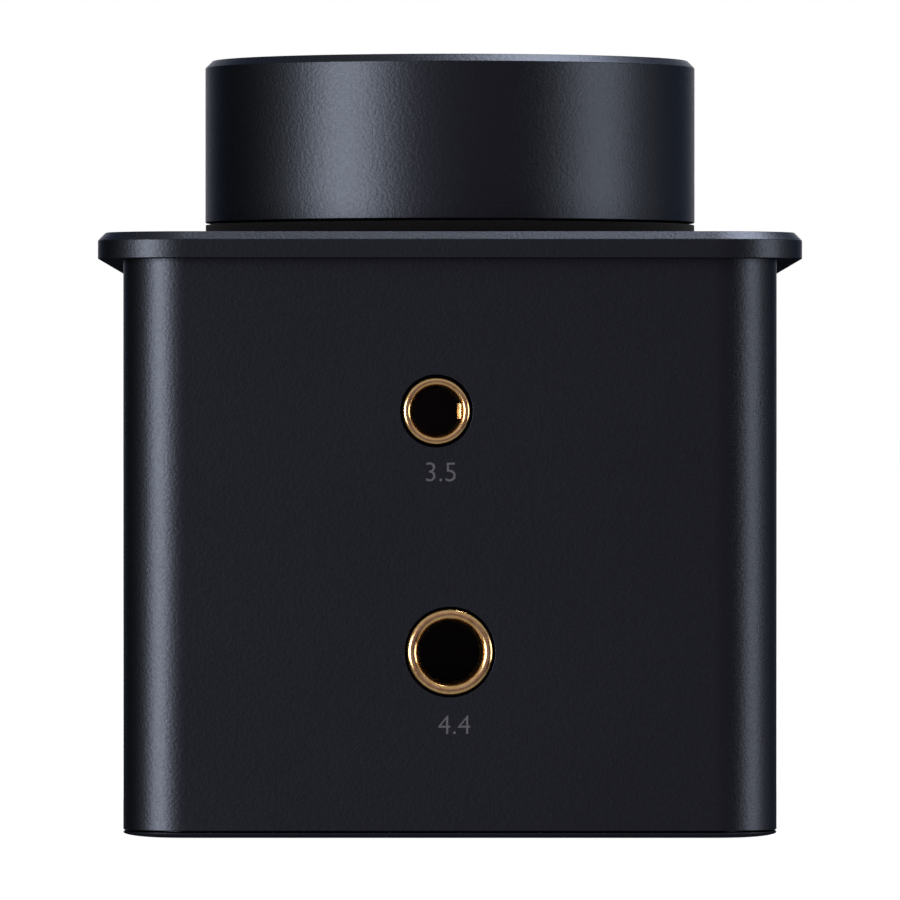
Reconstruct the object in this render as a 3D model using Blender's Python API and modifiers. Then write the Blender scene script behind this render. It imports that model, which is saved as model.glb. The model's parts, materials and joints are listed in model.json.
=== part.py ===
"""Digital audio player: a milled aluminium block with a large turned volume knob on top.

Frame: metres, +Z up. The origin is on the plane the player rests on, under the middle of
the top plate. The two headphone jacks face -Y, the display and the knob face +Z.
"""
import math

import bmesh
import bpy
from mathutils import Matrix

MM = 0.001

# Gaps between pieces
CLEARANCE = 0.3 * MM
SEAM = 0.15 * MM
RUNNING_CLEARANCE = 0.05 * MM
CUT_MARGIN = 1.0 * MM

# Facets, and the tolerances of mesh work
CORNER_STEPS = 6
PILL_STEPS = 5
KNOB_STEPS = 64
ROUND_STEPS = 28
SMALL_STEPS = 14
HEXAGON = 6
WELD = 0.001 * MM
LEVEL = 0.01 * MM
SHARP_ANGLE = math.radians(30)
RIM_ANGLE = math.radians(60)

# Milled case
BODY_WIDTH = 45.0 * MM
BODY_LENGTH = 104.5 * MM
BODY_RADIUS = 4.4 * MM
PLATE_UNDERSIDE = 39.95 * MM
WALL = 1.8 * MM
POST = 5.0 * MM
RIB_BELOW_PLATE = 17.95 * MM
RIB_THICKNESS = 1.6 * MM
RIB_DEPTH = 3.6 * MM

# Top plate
PLATE_THICKNESS = 1.82 * MM
PLATE_OVERHANG = 1.75 * MM
PLATE_CHAMFER = 0.55 * MM

# Bottom cover and feet
FOOT_HEIGHT = 0.2 * MM
FOOT_THICKNESS = 0.7 * MM
FOOT_LENGTH = 9.0 * MM
FOOT_INSET = 9.0 * MM
COVER_RIM = 0.35 * MM
COVER_INSET = 0.1 * MM
COVER_CHAMFER = 0.15 * MM
COVER_THICKNESS = 1.4 * MM

# Clamp bolts, which hold the cover, the case and the plate together
BOLT_RADIUS = 1.0 * MM
BOLT_HEAD_RADIUS = 1.9 * MM
BOLT_HEAD_SUNK = 0.1 * MM
BOLT_KEY_RADIUS = 0.75 * MM
BOLT_KEY_DEPTH = 0.7 * MM
BOLT_THREAD_DEPTH = 1.15 * MM

# Volume knob and its rotary encoder
KNOB_RADIUS = 17.2 * MM
KNOB_HEIGHT = 11.39 * MM
KNOB_CHAMFER = 0.5 * MM
KNOB_LOWER_CHAMFER = 0.05 * MM
KNOB_LIFT = 0.99 * MM
KNOB_MARGIN = 6.95 * MM
KNOB_WALL = 2.4 * MM
KNOB_TOP_WALL = 1.8 * MM
RING_INSET = 0.2 * MM
RING_WIDTH = 2.4 * MM
RING_GAP = 0.25 * MM
HUB_RADIUS = 5.4 * MM
HUB_OVER_BUSHING = 1.48 * MM
HUB_SOCKET_WALL = 1.6 * MM
HUB_FLOAT = 0.2 * MM
SHAFT_RADIUS = 3.0 * MM
SHAFT_FLAT = 0.5 * MM
SHAFT_IN_ENCODER = 3.6 * MM
SET_SCREW_RADIUS = 1.0 * MM
SET_SCREW_LENGTH = 2.0 * MM
SET_SCREW_KEY = 0.45 * MM
SET_SCREW_KEY_DEPTH = 0.8 * MM
BUSHING_RADIUS = 4.5 * MM
BUSHING_STAND = 3.3 * MM
WASHER_WIDTH = 1.9 * MM
WASHER_THICKNESS = 0.5 * MM
NUT_WALL = 1.7 * MM
NUT_THICKNESS = 1.6 * MM
ENCODER_WIDTH = 12.5 * MM
ENCODER_DEPTH = 13.0 * MM
ENCODER_HEIGHT = 4.6 * MM
ENCODER_BOARD_WIDTH = 20.0 * MM
ENCODER_BOARD_THICKNESS = 1.0 * MM

# Display, set in the top plate behind the knob
GLASS_SIDE_MARGIN = 5.0 * MM
GLASS_REAR_MARGIN = 8.0 * MM
GLASS_BEHIND_KNOB = 4.65 * MM
GLASS_RADIUS = 2.6 * MM
GLASS_THICKNESS = 0.7 * MM
GLASS_SUNK = 0.02 * MM
GASKET_THICKNESS = 0.2 * MM
GASKET_WIDTH = 1.4 * MM
DISPLAY_LEDGE = 2.0 * MM
PANEL_THICKNESS = 0.8 * MM

# Headphone jacks in the front wall: bore sizes are the 3.5 mm and 4.4 mm plug standards
PHONES_X = -0.93 * MM
PHONES_BELOW_PLATE = 10.48 * MM
PHONES_BORE = 1.775 * MM
PHONES_RING_WALL = 0.545 * MM
PHONES_RING_GAP = 0.18 * MM
PHONES_BODY_WALL = 2.225 * MM
PHONES_BODY_LENGTH = 13.0 * MM
BALANCED_X = 0.0
BALANCED_BELOW_PLATE = 27.0 * MM
BALANCED_BORE = 2.24 * MM
BALANCED_RING_WALL = 0.75 * MM
BALANCED_RING_GAP = 0.12 * MM
BALANCED_BODY_WALL = 2.76 * MM
BALANCED_BODY_FLOOR = 1.96 * MM
BALANCED_BODY_LENGTH = 19.0 * MM
JACK_RING_PROUD = 0.1 * MM
JACK_RING_LENGTH = 3.4 * MM
JACK_LIP = 0.22 * MM
JACK_EDGE = 0.12 * MM
JACK_END_WALL = 1.0 * MM
CONTACT_THICKNESS = 0.3 * MM
CONTACT_LENGTH = 4.0 * MM
CONTACT_HEIGHT = 1.2 * MM
CONTACT_REACH = 0.2 * MM
CONTACT_BEND = 2.7 * MM
CONTACT_BEHIND_RING = 1.2 * MM

# Circuit boards and what they carry
BOARD_THICKNESS = 1.2 * MM
BOARD_SCREW_RADIUS = 0.8 * MM
BOARD_SCREW_HEAD = 1.5 * MM
BOARD_SCREW_HEAD_HEIGHT = 0.7 * MM
BOARD_SCREW_INSET = 20.0 * MM
SHIELD_WIDTH = 24.0 * MM
SHIELD_LENGTH = 30.0 * MM
SHIELD_HEIGHT = 2.6 * MM
SHIELD_WALL = 0.4 * MM
SHIELD_Y = 4.0 * MM
PROCESSOR_SIZE = 14.0 * MM
PROCESSOR_HEIGHT = 1.2 * MM
DAC_SIZE = 9.0 * MM
DAC_HEIGHT = 1.0 * MM
DAC_X = 8.0 * MM
DAC_BEHIND_CAPACITORS = 8.0 * MM
CAPACITOR_COUNT = 4
CAPACITOR_RADIUS = 3.15 * MM
CAPACITOR_HEIGHT = 4.4 * MM
CAPACITOR_PITCH = 8.0 * MM
CAPACITOR_BEHIND_JACK = 6.0 * MM
BATTERY_SIDE_GAP = 2.7 * MM
BATTERY_BEHIND_JACK = 5.15 * MM
BATTERY_TO_POST = 3.45 * MM
BATTERY_UNDER_CAPACITORS = 1.55 * MM
BATTERY_RADIUS = 1.5 * MM
BATTERY_EDGE_STEPS = 2
BATTERY_PAD_THICKNESS = 0.8 * MM

# Rear wall: charging port, card tray and antenna window
USB_WIDTH = 8.94 * MM
USB_HEIGHT = 3.16 * MM
USB_WALL = 0.3 * MM
USB_LENGTH = 7.3 * MM
USB_SUNK = 0.1 * MM
USB_TONGUE_WIDTH = 6.6 * MM
USB_TONGUE_THICKNESS = 0.7 * MM
USB_TONGUE_SUNK = 0.8 * MM
USB_BLOCK_LENGTH = 2.0 * MM
USB_OFF_BOARD = 0.2 * MM
TRAY_CARD_WIDTH = 11.2 * MM
TRAY_CARD_LENGTH = 14.4 * MM
TRAY_CARD_DEPTH = 0.7 * MM
TRAY_RIM = 0.5 * MM
TRAY_END = 1.3 * MM
TRAY_FLOOR = 0.5 * MM
TRAY_FACE_MARGIN = 0.7 * MM
TRAY_FACE_HEIGHT = 2.4 * MM
TRAY_FACE_SUNK = 0.05 * MM
TRAY_PINHOLE_RADIUS = 0.5 * MM
TRAY_PINHOLE_DEPTH = 1.2 * MM
SOCKET_WALL = 0.4 * MM
ANTENNA_WIDTH = 30.0 * MM
ANTENNA_HEIGHT = 4.2 * MM
ANTENNA_BELOW_PLATE = 6.15 * MM

# Side buttons in the right wall
BUTTON_LENGTH = 8.6 * MM
BUTTON_HEIGHT = 3.2 * MM
BUTTON_PROUD = 0.4 * MM
BUTTON_EDGE = 0.2 * MM
BUTTON_FLANGE = 0.8 * MM
BUTTON_FLANGE_THICKNESS = 0.8 * MM
BUTTON_TRAVEL = 0.35 * MM
BUTTON_BELOW_PLATE = 9.95 * MM
BUTTON_GAP = 1.8 * MM
BUTTON_REAR_MARGIN = 22.25 * MM
POWER_BUTTON_GAP = 7.8 * MM
SWITCH_LENGTH = 4.2 * MM
SWITCH_HEIGHT = 3.0 * MM
SWITCH_DEPTH = 1.4 * MM
SWITCH_PLUNGER_RADIUS = 0.8 * MM
SWITCH_PLUNGER_LENGTH = 0.5 * MM
BUTTON_BOARD_HEIGHT = 8.0 * MM
BUTTON_BOARD_THICKNESS = 0.8 * MM
BOSS_SIZE = 3.0 * MM

# Places worked out from the sizes above
INNER_WIDTH = BODY_WIDTH - 2 * WALL
INNER_LENGTH = BODY_LENGTH - 2 * WALL
PLATE_WIDTH = BODY_WIDTH + 2 * PLATE_OVERHANG
PLATE_LENGTH = BODY_LENGTH + 2 * PLATE_OVERHANG
PLATE_TOP = PLATE_UNDERSIDE + PLATE_THICKNESS
RIB_TOP = PLATE_UNDERSIDE - RIB_BELOW_PLATE
FRONT = -BODY_LENGTH / 2
REAR = BODY_LENGTH / 2
COVER_RIM_TOP = FOOT_HEIGHT + COVER_RIM
COVER_TOP = FOOT_HEIGHT + COVER_THICKNESS
CASE_BOTTOM = COVER_RIM_TOP + SEAM
CASE_TOP = PLATE_UNDERSIDE - SEAM
RIB_BOTTOM = RIB_TOP - RIB_THICKNESS
KNOB_Y = -PLATE_LENGTH / 2 + KNOB_MARGIN + KNOB_RADIUS
KNOB_BOTTOM = PLATE_TOP + KNOB_LIFT
KNOB_TOP = KNOB_BOTTOM + KNOB_HEIGHT
KNOB_CEILING = KNOB_TOP - KNOB_TOP_WALL
HUB_TOP = KNOB_CEILING - HUB_FLOAT
HUB_BOTTOM = PLATE_TOP + BUSHING_STAND + HUB_OVER_BUSHING
HUB_HEIGHT = HUB_TOP - HUB_BOTTOM
WASHER_RADIUS = BUSHING_RADIUS + WASHER_WIDTH
NUT_RADIUS = BUSHING_RADIUS + NUT_WALL
ENCODER_TOP = PLATE_UNDERSIDE - CLEARANCE
ENCODER_BOTTOM = ENCODER_TOP - ENCODER_HEIGHT
ENCODER_BOARD_TOP = ENCODER_BOTTOM - CLEARANCE
ENCODER_BOARD_BOTTOM = ENCODER_BOARD_TOP - ENCODER_BOARD_THICKNESS
GLASS_WIDTH = PLATE_WIDTH - 2 * GLASS_SIDE_MARGIN
GLASS_FRONT = KNOB_Y + KNOB_RADIUS + GLASS_BEHIND_KNOB
GLASS_REAR = PLATE_LENGTH / 2 - GLASS_REAR_MARGIN
GLASS_LENGTH = GLASS_REAR - GLASS_FRONT
GLASS_Y = (GLASS_FRONT + GLASS_REAR) / 2
GLASS_TOP = PLATE_TOP - GLASS_SUNK
GLASS_BOTTOM = GLASS_TOP - GLASS_THICKNESS
GASKET_BOTTOM = GLASS_BOTTOM - SEAM - GASKET_THICKNESS
POCKET_FLOOR = GASKET_BOTTOM - SEAM
MAIN_BOARD_BOTTOM = RIB_TOP + CLEARANCE
MAIN_BOARD_TOP = MAIN_BOARD_BOTTOM + BOARD_THICKNESS
AUDIO_BOARD_TOP = RIB_BOTTOM - CLEARANCE
AUDIO_BOARD_BOTTOM = AUDIO_BOARD_TOP - BOARD_THICKNESS
JACK_BODY_FRONT = FRONT + WALL + CLEARANCE
PHONES_Z = PLATE_UNDERSIDE - PHONES_BELOW_PLATE
PHONES_RING = PHONES_BORE + PHONES_RING_WALL
PHONES_HOLE = PHONES_RING + PHONES_RING_GAP
PHONES_BODY_WIDTH = 2 * (PHONES_BORE + PHONES_BODY_WALL)
PHONES_BODY_TOP = ENCODER_BOARD_BOTTOM - CLEARANCE
PHONES_BODY_BOTTOM = MAIN_BOARD_TOP + CLEARANCE
BALANCED_Z = PLATE_UNDERSIDE - BALANCED_BELOW_PLATE
BALANCED_RING = BALANCED_BORE + BALANCED_RING_WALL
BALANCED_HOLE = BALANCED_RING + BALANCED_RING_GAP
BALANCED_BODY_WIDTH = 2 * (BALANCED_BORE + BALANCED_BODY_WALL)
BALANCED_BODY_TOP = AUDIO_BOARD_BOTTOM - CLEARANCE
BALANCED_BODY_BOTTOM = BALANCED_Z - BALANCED_BORE - BALANCED_BODY_FLOOR
BALANCED_BODY_END = JACK_BODY_FRONT + BALANCED_BODY_LENGTH
BOLT_X = INNER_WIDTH / 2 - POST / 2
BOLT_Y = INNER_LENGTH / 2 - POST / 2
POST_FACE = INNER_WIDTH / 2 - POST
BOARD_SCREW_X = INNER_WIDTH / 2 - RIB_DEPTH / 2
BOARD_SCREW_Y = INNER_LENGTH / 2 - BOARD_SCREW_INSET
USB_X = POST_FACE - CLEARANCE - USB_WIDTH / 2
USB_Z = MAIN_BOARD_TOP + USB_OFF_BOARD + USB_HEIGHT / 2
TRAY_BED_WIDTH = TRAY_CARD_WIDTH + 2 * TRAY_RIM
TRAY_BED_HEIGHT = TRAY_CARD_DEPTH + TRAY_FLOOR
TRAY_BED_LENGTH = CLEARANCE + TRAY_CARD_LENGTH + TRAY_END
TRAY_FACE_WIDTH = TRAY_BED_WIDTH + 2 * TRAY_FACE_MARGIN
SOCKET_ROOM_WIDTH = TRAY_BED_WIDTH + 2 * CLEARANCE
SOCKET_WIDTH = SOCKET_ROOM_WIDTH + 2 * SOCKET_WALL
TRAY_X = -(POST_FACE - CLEARANCE - SOCKET_WIDTH / 2)
TRAY_Z = MAIN_BOARD_TOP + CLEARANCE + SOCKET_WALL + CLEARANCE + TRAY_BED_HEIGHT / 2
ANTENNA_Z = PLATE_UNDERSIDE - ANTENNA_BELOW_PLATE
CAPACITOR_TOP = AUDIO_BOARD_BOTTOM - SEAM
CAPACITOR_BOTTOM = CAPACITOR_TOP - CAPACITOR_HEIGHT
CAPACITOR_Y = BALANCED_BODY_END + CAPACITOR_BEHIND_JACK + CAPACITOR_RADIUS
DAC_Y = CAPACITOR_Y + DAC_BEHIND_CAPACITORS
BATTERY_BOTTOM = COVER_TOP + 2 * CLEARANCE + BATTERY_PAD_THICKNESS
BATTERY_HEIGHT = CAPACITOR_BOTTOM - BATTERY_UNDER_CAPACITORS - BATTERY_BOTTOM
BATTERY_WIDTH = INNER_WIDTH - 2 * BATTERY_SIDE_GAP
BATTERY_FRONT = BALANCED_BODY_END + BATTERY_BEHIND_JACK
BATTERY_REAR = INNER_LENGTH / 2 - POST - BATTERY_TO_POST
BATTERY_LENGTH = BATTERY_REAR - BATTERY_FRONT
BATTERY_Y = (BATTERY_FRONT + BATTERY_REAR) / 2
BUTTON_BACK = BODY_WIDTH / 2 - WALL - CLEARANCE - BUTTON_FLANGE_THICKNESS
SWITCH_TIP = BUTTON_BACK - BUTTON_TRAVEL - SEAM
SWITCH_FACE = SWITCH_TIP - SWITCH_PLUNGER_LENGTH
BUTTON_Z = PLATE_UNDERSIDE - BUTTON_BELOW_PLATE
BUTTON_PITCH = BUTTON_LENGTH + 2 * BUTTON_FLANGE + BUTTON_GAP
NEXT_Y = REAR - BUTTON_REAR_MARGIN
PLAY_Y = NEXT_Y - BUTTON_PITCH
BACK_Y = PLAY_Y - BUTTON_PITCH
POWER_Y = BACK_Y - BUTTON_LENGTH - 2 * BUTTON_FLANGE - POWER_BUTTON_GAP
BUTTON_PLACES = {"power": POWER_Y, "back": BACK_Y, "play": PLAY_Y, "next": NEXT_Y}
BUTTON_BOARD_END = BUTTON_LENGTH / 2 + BUTTON_FLANGE + CLEARANCE + BOSS_SIZE
BUTTON_BOARD_FACE = SWITCH_FACE - SWITCH_DEPTH - SEAM

FACING_FRONT = (math.radians(90), 0.0, 0.0)
FACING_REAR = (math.radians(-90), 0.0, 0.0)
FACING_RIGHT = (0.0, math.radians(90), 0.0)


# ---------------------------------------------------------------- helpers


def clear_scene():
    """Remove every object of the opened scene."""
    for old in list(bpy.data.objects):
        bpy.data.objects.remove(old, do_unlink=True)


def new_collection(name):
    """Collection of that name, linked to the scene."""
    collection = bpy.data.collections.new(name)
    bpy.context.scene.collection.children.link(collection)
    return collection


def make_material(name, colour, roughness, metallic):
    """Principled material of one colour."""
    material = bpy.data.materials.new(name)
    material.use_nodes = True
    shader = material.node_tree.nodes["Principled BSDF"]
    shader.inputs["Base Color"].default_value = (*colour, 1.0)
    shader.inputs["Roughness"].default_value = roughness
    shader.inputs["Metallic"].default_value = metallic
    return material


def add_part(name, mesh, material, location=(0.0, 0.0, 0.0), rotation=(0.0, 0.0, 0.0)):
    """Object of the player, in its own collection, shaded smooth where it is round."""
    mesh.name = name
    mesh.materials.clear()
    mesh.materials.append(material)
    mesh.shade_smooth()
    mesh.set_sharp_from_angle(angle=SHARP_ANGLE)
    part = bpy.data.objects.new(name, mesh)
    part.location = location
    part.rotation_euler = rotation
    PLAYER.objects.link(part)
    return part


def add_cutter(name, mesh, location=(0.0, 0.0, 0.0), rotation=(0.0, 0.0, 0.0)):
    """Object that only cuts or joins other pieces."""
    cutter = bpy.data.objects.new("cutter_" + name, mesh)
    cutter.location = location
    cutter.rotation_euler = rotation
    cutter.hide_render = True
    cutter.display_type = "WIRE"
    CUTTERS.objects.link(cutter)
    return cutter


def combine(part, others, operation, solver="EXACT"):
    """Boolean modifiers that cut the others out of the part, or join them to it."""
    for other in others:
        modifier = part.modifiers.new(other.name, "BOOLEAN")
        modifier.operation = operation
        modifier.solver = solver
        modifier.object = other


def cut(part, *cutters, solver="EXACT"):
    """Cut the cutters out of the part."""
    combine(part, cutters, "DIFFERENCE", solver)


def join(part, *others):
    """Join the other shapes to the part as one body."""
    combine(part, others, "UNION")


def mesh_of(holder):
    """Mesh of an object as its modifiers or curve make it; the object is removed."""
    bpy.context.scene.collection.objects.link(holder)
    bpy.context.view_layer.update()
    graph = bpy.context.evaluated_depsgraph_get()
    mesh = bpy.data.meshes.new_from_object(holder.evaluated_get(graph))
    mesh.transform(holder.matrix_world)
    bpy.data.objects.remove(holder, do_unlink=True)
    shape = bmesh.new()
    shape.from_mesh(mesh)
    bmesh.ops.remove_doubles(shape, verts=shape.verts, dist=WELD)
    bmesh.ops.recalc_face_normals(shape, faces=shape.faces)
    shape.to_mesh(mesh)
    shape.free()
    return mesh


def prism(outlines, low, high):
    """First outline extruded from low to high, with the other outlines as holes."""
    curve = bpy.data.curves.new("outline", "CURVE")
    curve.dimensions = "2D"
    curve.fill_mode = "BOTH"
    curve.extrude = (high - low) / 2
    for outline in outlines:
        spline = curve.splines.new("POLY")
        spline.points.add(len(outline) - 1)
        for point, (x, y) in zip(spline.points, outline):
            point.co = (x, y, 0.0, 1.0)
        spline.use_cyclic_u = True
    holder = bpy.data.objects.new("outline", curve)
    holder.location.z = (low + high) / 2
    return mesh_of(holder)


def turned(profile, steps=ROUND_STEPS, ring=False):
    """Profile of (radius, height) turned about Z, running down its outer side."""
    edges = [(index, index + 1) for index in range(len(profile) - 1)]
    if ring:
        edges.append((len(profile) - 1, 0))
    line = bpy.data.meshes.new("profile")
    line.from_pydata([(radius, 0.0, height) for radius, height in profile], edges, [])
    holder = bpy.data.objects.new("profile", line)
    screw = holder.modifiers.new("Turn", "SCREW")
    screw.axis = "Z"
    screw.steps = steps
    screw.render_steps = steps
    screw.use_merge_vertices = True
    screw.merge_threshold = WELD
    return mesh_of(holder)


def cylinder(radius, low, high, steps=SMALL_STEPS):
    """Solid cylinder along Z."""
    return turned([(0.0, high), (radius, high), (radius, low), (0.0, low)], steps)


def tube(outer, inner, low, high, steps=ROUND_STEPS):
    """Plain ring along Z."""
    profile = [(outer, high), (outer, low), (inner, low), (inner, high)]
    return turned(profile, steps, ring=True)


def box(width, length, height, edge=0.0, edge_steps=1):
    """Box centred on its origin, with all its edges rounded by the edge size."""
    shape = bmesh.new()
    bmesh.ops.create_cube(shape, size=1.0)
    bmesh.ops.scale(shape, vec=(width, length, height), verts=shape.verts)
    if edge > 0.0:
        bmesh.ops.bevel(
            shape, geom=shape.edges, offset=edge, segments=edge_steps,
            profile=0.5, affect="EDGES",
        )
    mesh = bpy.data.meshes.new("box")
    shape.to_mesh(mesh)
    shape.free()
    return mesh


def shift(mesh, x, y, z):
    """Move a mesh within its object."""
    mesh.transform(Matrix.Translation((x, y, z)))


def chamfer_rim(mesh, height, size):
    """Chamfer the outer edges that lie flat at one height of a prism without holes."""
    shape = bmesh.new()
    shape.from_mesh(mesh)
    rim = [
        edge for edge in shape.edges
        if all(abs(vertex.co.z - height) < LEVEL for vertex in edge.verts)
        and edge.calc_face_angle(0.0) > RIM_ANGLE
    ]
    bmesh.ops.bevel(shape, geom=rim, offset=size, segments=1, affect="EDGES")
    shape.to_mesh(mesh)
    shape.free()
    return mesh


def rounded_rectangle(width, length, radius, steps=CORNER_STEPS):
    """Outline with round corners, anticlockwise."""
    points = []
    x = width / 2 - radius
    y = length / 2 - radius
    for start, centre in ((0, (x, y)), (90, (-x, y)), (180, (-x, -y)), (270, (x, -y))):
        for step in range(steps + 1):
            angle = math.radians(start + 90 * step / steps)
            point_x = centre[0] + radius * math.cos(angle)
            point_y = centre[1] + radius * math.sin(angle)
            points.append((point_x, point_y))
    return points


def rectangle(width, length):
    """Plain outline, anticlockwise."""
    x = width / 2
    y = length / 2
    return [(x, -y), (x, y), (-x, y), (-x, -y)]


def notched_rectangle(width, length, notch):
    """Rectangle with a square taken out of each corner, anticlockwise."""
    x = width / 2
    y = length / 2
    x_in = x - notch
    y_in = y - notch
    return [
        (x_in, -y), (x_in, -y_in), (x, -y_in), (x, y_in), (x_in, y_in), (x_in, y),
        (-x_in, y), (-x_in, y_in), (-x, y_in), (-x, -y_in), (-x_in, -y_in), (-x_in, -y),
    ]


def pill(width, length):
    """Outline with two fully round ends."""
    return rounded_rectangle(width, length, min(width, length) / 2, PILL_STEPS)


# ---------------------------------------------------------------- housing


def corners():
    """Name and place of the four corner posts."""
    for depth, y in (("front", -BOLT_Y), ("rear", BOLT_Y)):
        for side, x in (("left", -BOLT_X), ("right", BOLT_X)):
            yield depth + "_" + side, x, y


def board_screw_places():
    """Name and place of the four screws that hold the boards to the rib."""
    for depth, y in (("front", -BOARD_SCREW_Y), ("rear", BOARD_SCREW_Y)):
        for side, x in (("left", -BOARD_SCREW_X), ("right", BOARD_SCREW_X)):
            yield depth + "_" + side, x, y


def foot_places():
    """Name and place of the two foot pads."""
    y = BODY_LENGTH / 2 - FOOT_INSET - FOOT_LENGTH / 2
    return (("front", -y), ("rear", y))


def foot_width():
    """Width of a foot pad, between the bolt heads of the two sides."""
    return 2 * (BOLT_X - BOLT_HEAD_RADIUS - 2 * CLEARANCE)


def case_cavities():
    """Upper and lower rooms, the opening in the rib, and the seat of the cover."""
    room = notched_rectangle(INNER_WIDTH, INNER_LENGTH, POST)
    opening = rectangle(INNER_WIDTH - 2 * RIB_DEPTH, INNER_LENGTH - 2 * POST)
    seat = rounded_rectangle(INNER_WIDTH, INNER_LENGTH, BODY_RADIUS - WALL)
    return (
        add_cutter("upper_room", prism([room], RIB_TOP, CASE_TOP + CUT_MARGIN)),
        add_cutter("lower_room", prism([room], CASE_BOTTOM - CUT_MARGIN, RIB_BOTTOM)),
        add_cutter("rib_opening", prism([opening], RIB_BOTTOM - CUT_MARGIN, RIB_TOP + CUT_MARGIN)),
        add_cutter("cover_seat", prism([seat], 0.0, COVER_TOP + CLEARANCE)),
    )


def case_front_holes():
    """Two round holes in the front wall, for the jack rings."""
    holes = []
    for name, x, z, radius in (
        ("phones_hole", PHONES_X, PHONES_Z, PHONES_HOLE),
        ("balanced_hole", BALANCED_X, BALANCED_Z, BALANCED_HOLE),
    ):
        drill = cylinder(radius, -WALL - CUT_MARGIN, CUT_MARGIN, ROUND_STEPS)
        holes.append(add_cutter(name, drill, (x, FRONT, z), FACING_FRONT))
    return holes


def case_rear_holes():
    """Slots in the rear wall for the port, the card tray and the antenna window."""
    slots = []
    for name, x, z, width, height in (
        ("usb_slot", USB_X, USB_Z, USB_WIDTH, USB_HEIGHT),
        ("tray_slot", TRAY_X, TRAY_Z, TRAY_FACE_WIDTH, TRAY_FACE_HEIGHT),
        ("antenna_slot", 0.0, ANTENNA_Z, ANTENNA_WIDTH, ANTENNA_HEIGHT),
    ):
        outline = pill(width + 2 * SEAM, height + 2 * SEAM)
        slot = prism([outline], -CUT_MARGIN, WALL + CUT_MARGIN)
        slots.append(add_cutter(name, slot, (x, REAR, z), FACING_FRONT))
    return slots


def case_button_holes():
    """One slot in the right wall for each button."""
    slots = []
    for name, y in BUTTON_PLACES.items():
        outline = pill(BUTTON_HEIGHT + 2 * SEAM, BUTTON_LENGTH + 2 * SEAM)
        slot = prism([outline], -WALL - CUT_MARGIN, CUT_MARGIN)
        place = (BODY_WIDTH / 2, y, BUTTON_Z)
        slots.append(add_cutter(name + "_button_slot", slot, place, FACING_RIGHT))
    return slots


def button_board_span():
    """Ends of the button board along Y."""
    places = BUTTON_PLACES.values()
    return min(places) - BUTTON_BOARD_END, max(places) + BUTTON_BOARD_END


def case_bosses():
    """Two bosses on the right wall that carry the button board."""
    wall_face = BODY_WIDTH / 2 - WALL
    reach = wall_face - BUTTON_BOARD_FACE - CLEARANCE
    bosses = []
    for name, end, inward in zip(("front", "rear"), button_board_span(), (1, -1)):
        boss = box(reach + WALL / 2, BOSS_SIZE, BOSS_SIZE)
        x = wall_face - reach + (reach + WALL / 2) / 2
        place = (x, end + inward * BOSS_SIZE / 2, BUTTON_Z)
        bosses.append(add_cutter(name + "_boss", boss, place))
    return bosses


def make_case():
    """Block milled out from above and below, with a rib and four corner posts."""
    outline = rounded_rectangle(BODY_WIDTH, BODY_LENGTH, BODY_RADIUS)
    case = add_part("case", prism([outline], CASE_BOTTOM, CASE_TOP), ANODISED)
    cut(case, *case_cavities())
    join(case, *case_bosses())
    cut(case, *case_front_holes(), *case_rear_holes(), *case_button_holes())
    for name, x, y in corners():
        drill = cylinder(BOLT_RADIUS + CLEARANCE, -CUT_MARGIN, CASE_TOP + CUT_MARGIN)
        cut(case, add_cutter("bolt_hole_" + name, drill, (x, y, 0.0)))
    for name, x, y in board_screw_places():
        radius = BOARD_SCREW_RADIUS + CLEARANCE
        drill = cylinder(radius, RIB_BOTTOM - CUT_MARGIN, RIB_TOP + CUT_MARGIN)
        cut(case, add_cutter("rib_hole_" + name, drill, (x, y, 0.0)))


def make_top_plate():
    """Overhanging lid with a chamfered rim, a knob hole and a pocket for the glass."""
    outline = rounded_rectangle(PLATE_WIDTH, PLATE_LENGTH, BODY_RADIUS + PLATE_OVERHANG)
    mesh = chamfer_rim(prism([outline], PLATE_UNDERSIDE, PLATE_TOP), PLATE_TOP, PLATE_CHAMFER)
    plate = add_part("top_plate", mesh, ANODISED)
    above = PLATE_TOP + CUT_MARGIN
    below = PLATE_UNDERSIDE - CUT_MARGIN
    pocket = rounded_rectangle(
        GLASS_WIDTH + 2 * SEAM, GLASS_LENGTH + 2 * SEAM, GLASS_RADIUS + SEAM,
    )
    window = rectangle(GLASS_WIDTH - 2 * DISPLAY_LEDGE, GLASS_LENGTH - 2 * DISPLAY_LEDGE)
    cut(
        plate,
        add_cutter("glass_pocket", prism([pocket], POCKET_FLOOR, above), (0.0, GLASS_Y, 0.0)),
        add_cutter("display_window", prism([window], below, above), (0.0, GLASS_Y, 0.0)),
        add_cutter(
            "bushing_hole", cylinder(BUSHING_RADIUS + CLEARANCE, below, above, ROUND_STEPS),
            (0.0, KNOB_Y, 0.0),
        ),
    )
    for name, x, y in corners():
        tap = cylinder(BOLT_RADIUS + SEAM, below, PLATE_UNDERSIDE + BOLT_THREAD_DEPTH + SEAM)
        cut(plate, add_cutter("plate_tap_" + name, tap, (x, y, 0.0)))


def bolt_cone(radius_gap):
    """Profile of a countersunk head, widened all round by a gap, from its neck down."""
    face = FOOT_HEIGHT + BOLT_HEAD_SUNK
    neck = face + BOLT_HEAD_RADIUS - BOLT_RADIUS
    return [(BOLT_RADIUS + radius_gap, neck), (BOLT_HEAD_RADIUS + radius_gap, face)]


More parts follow.
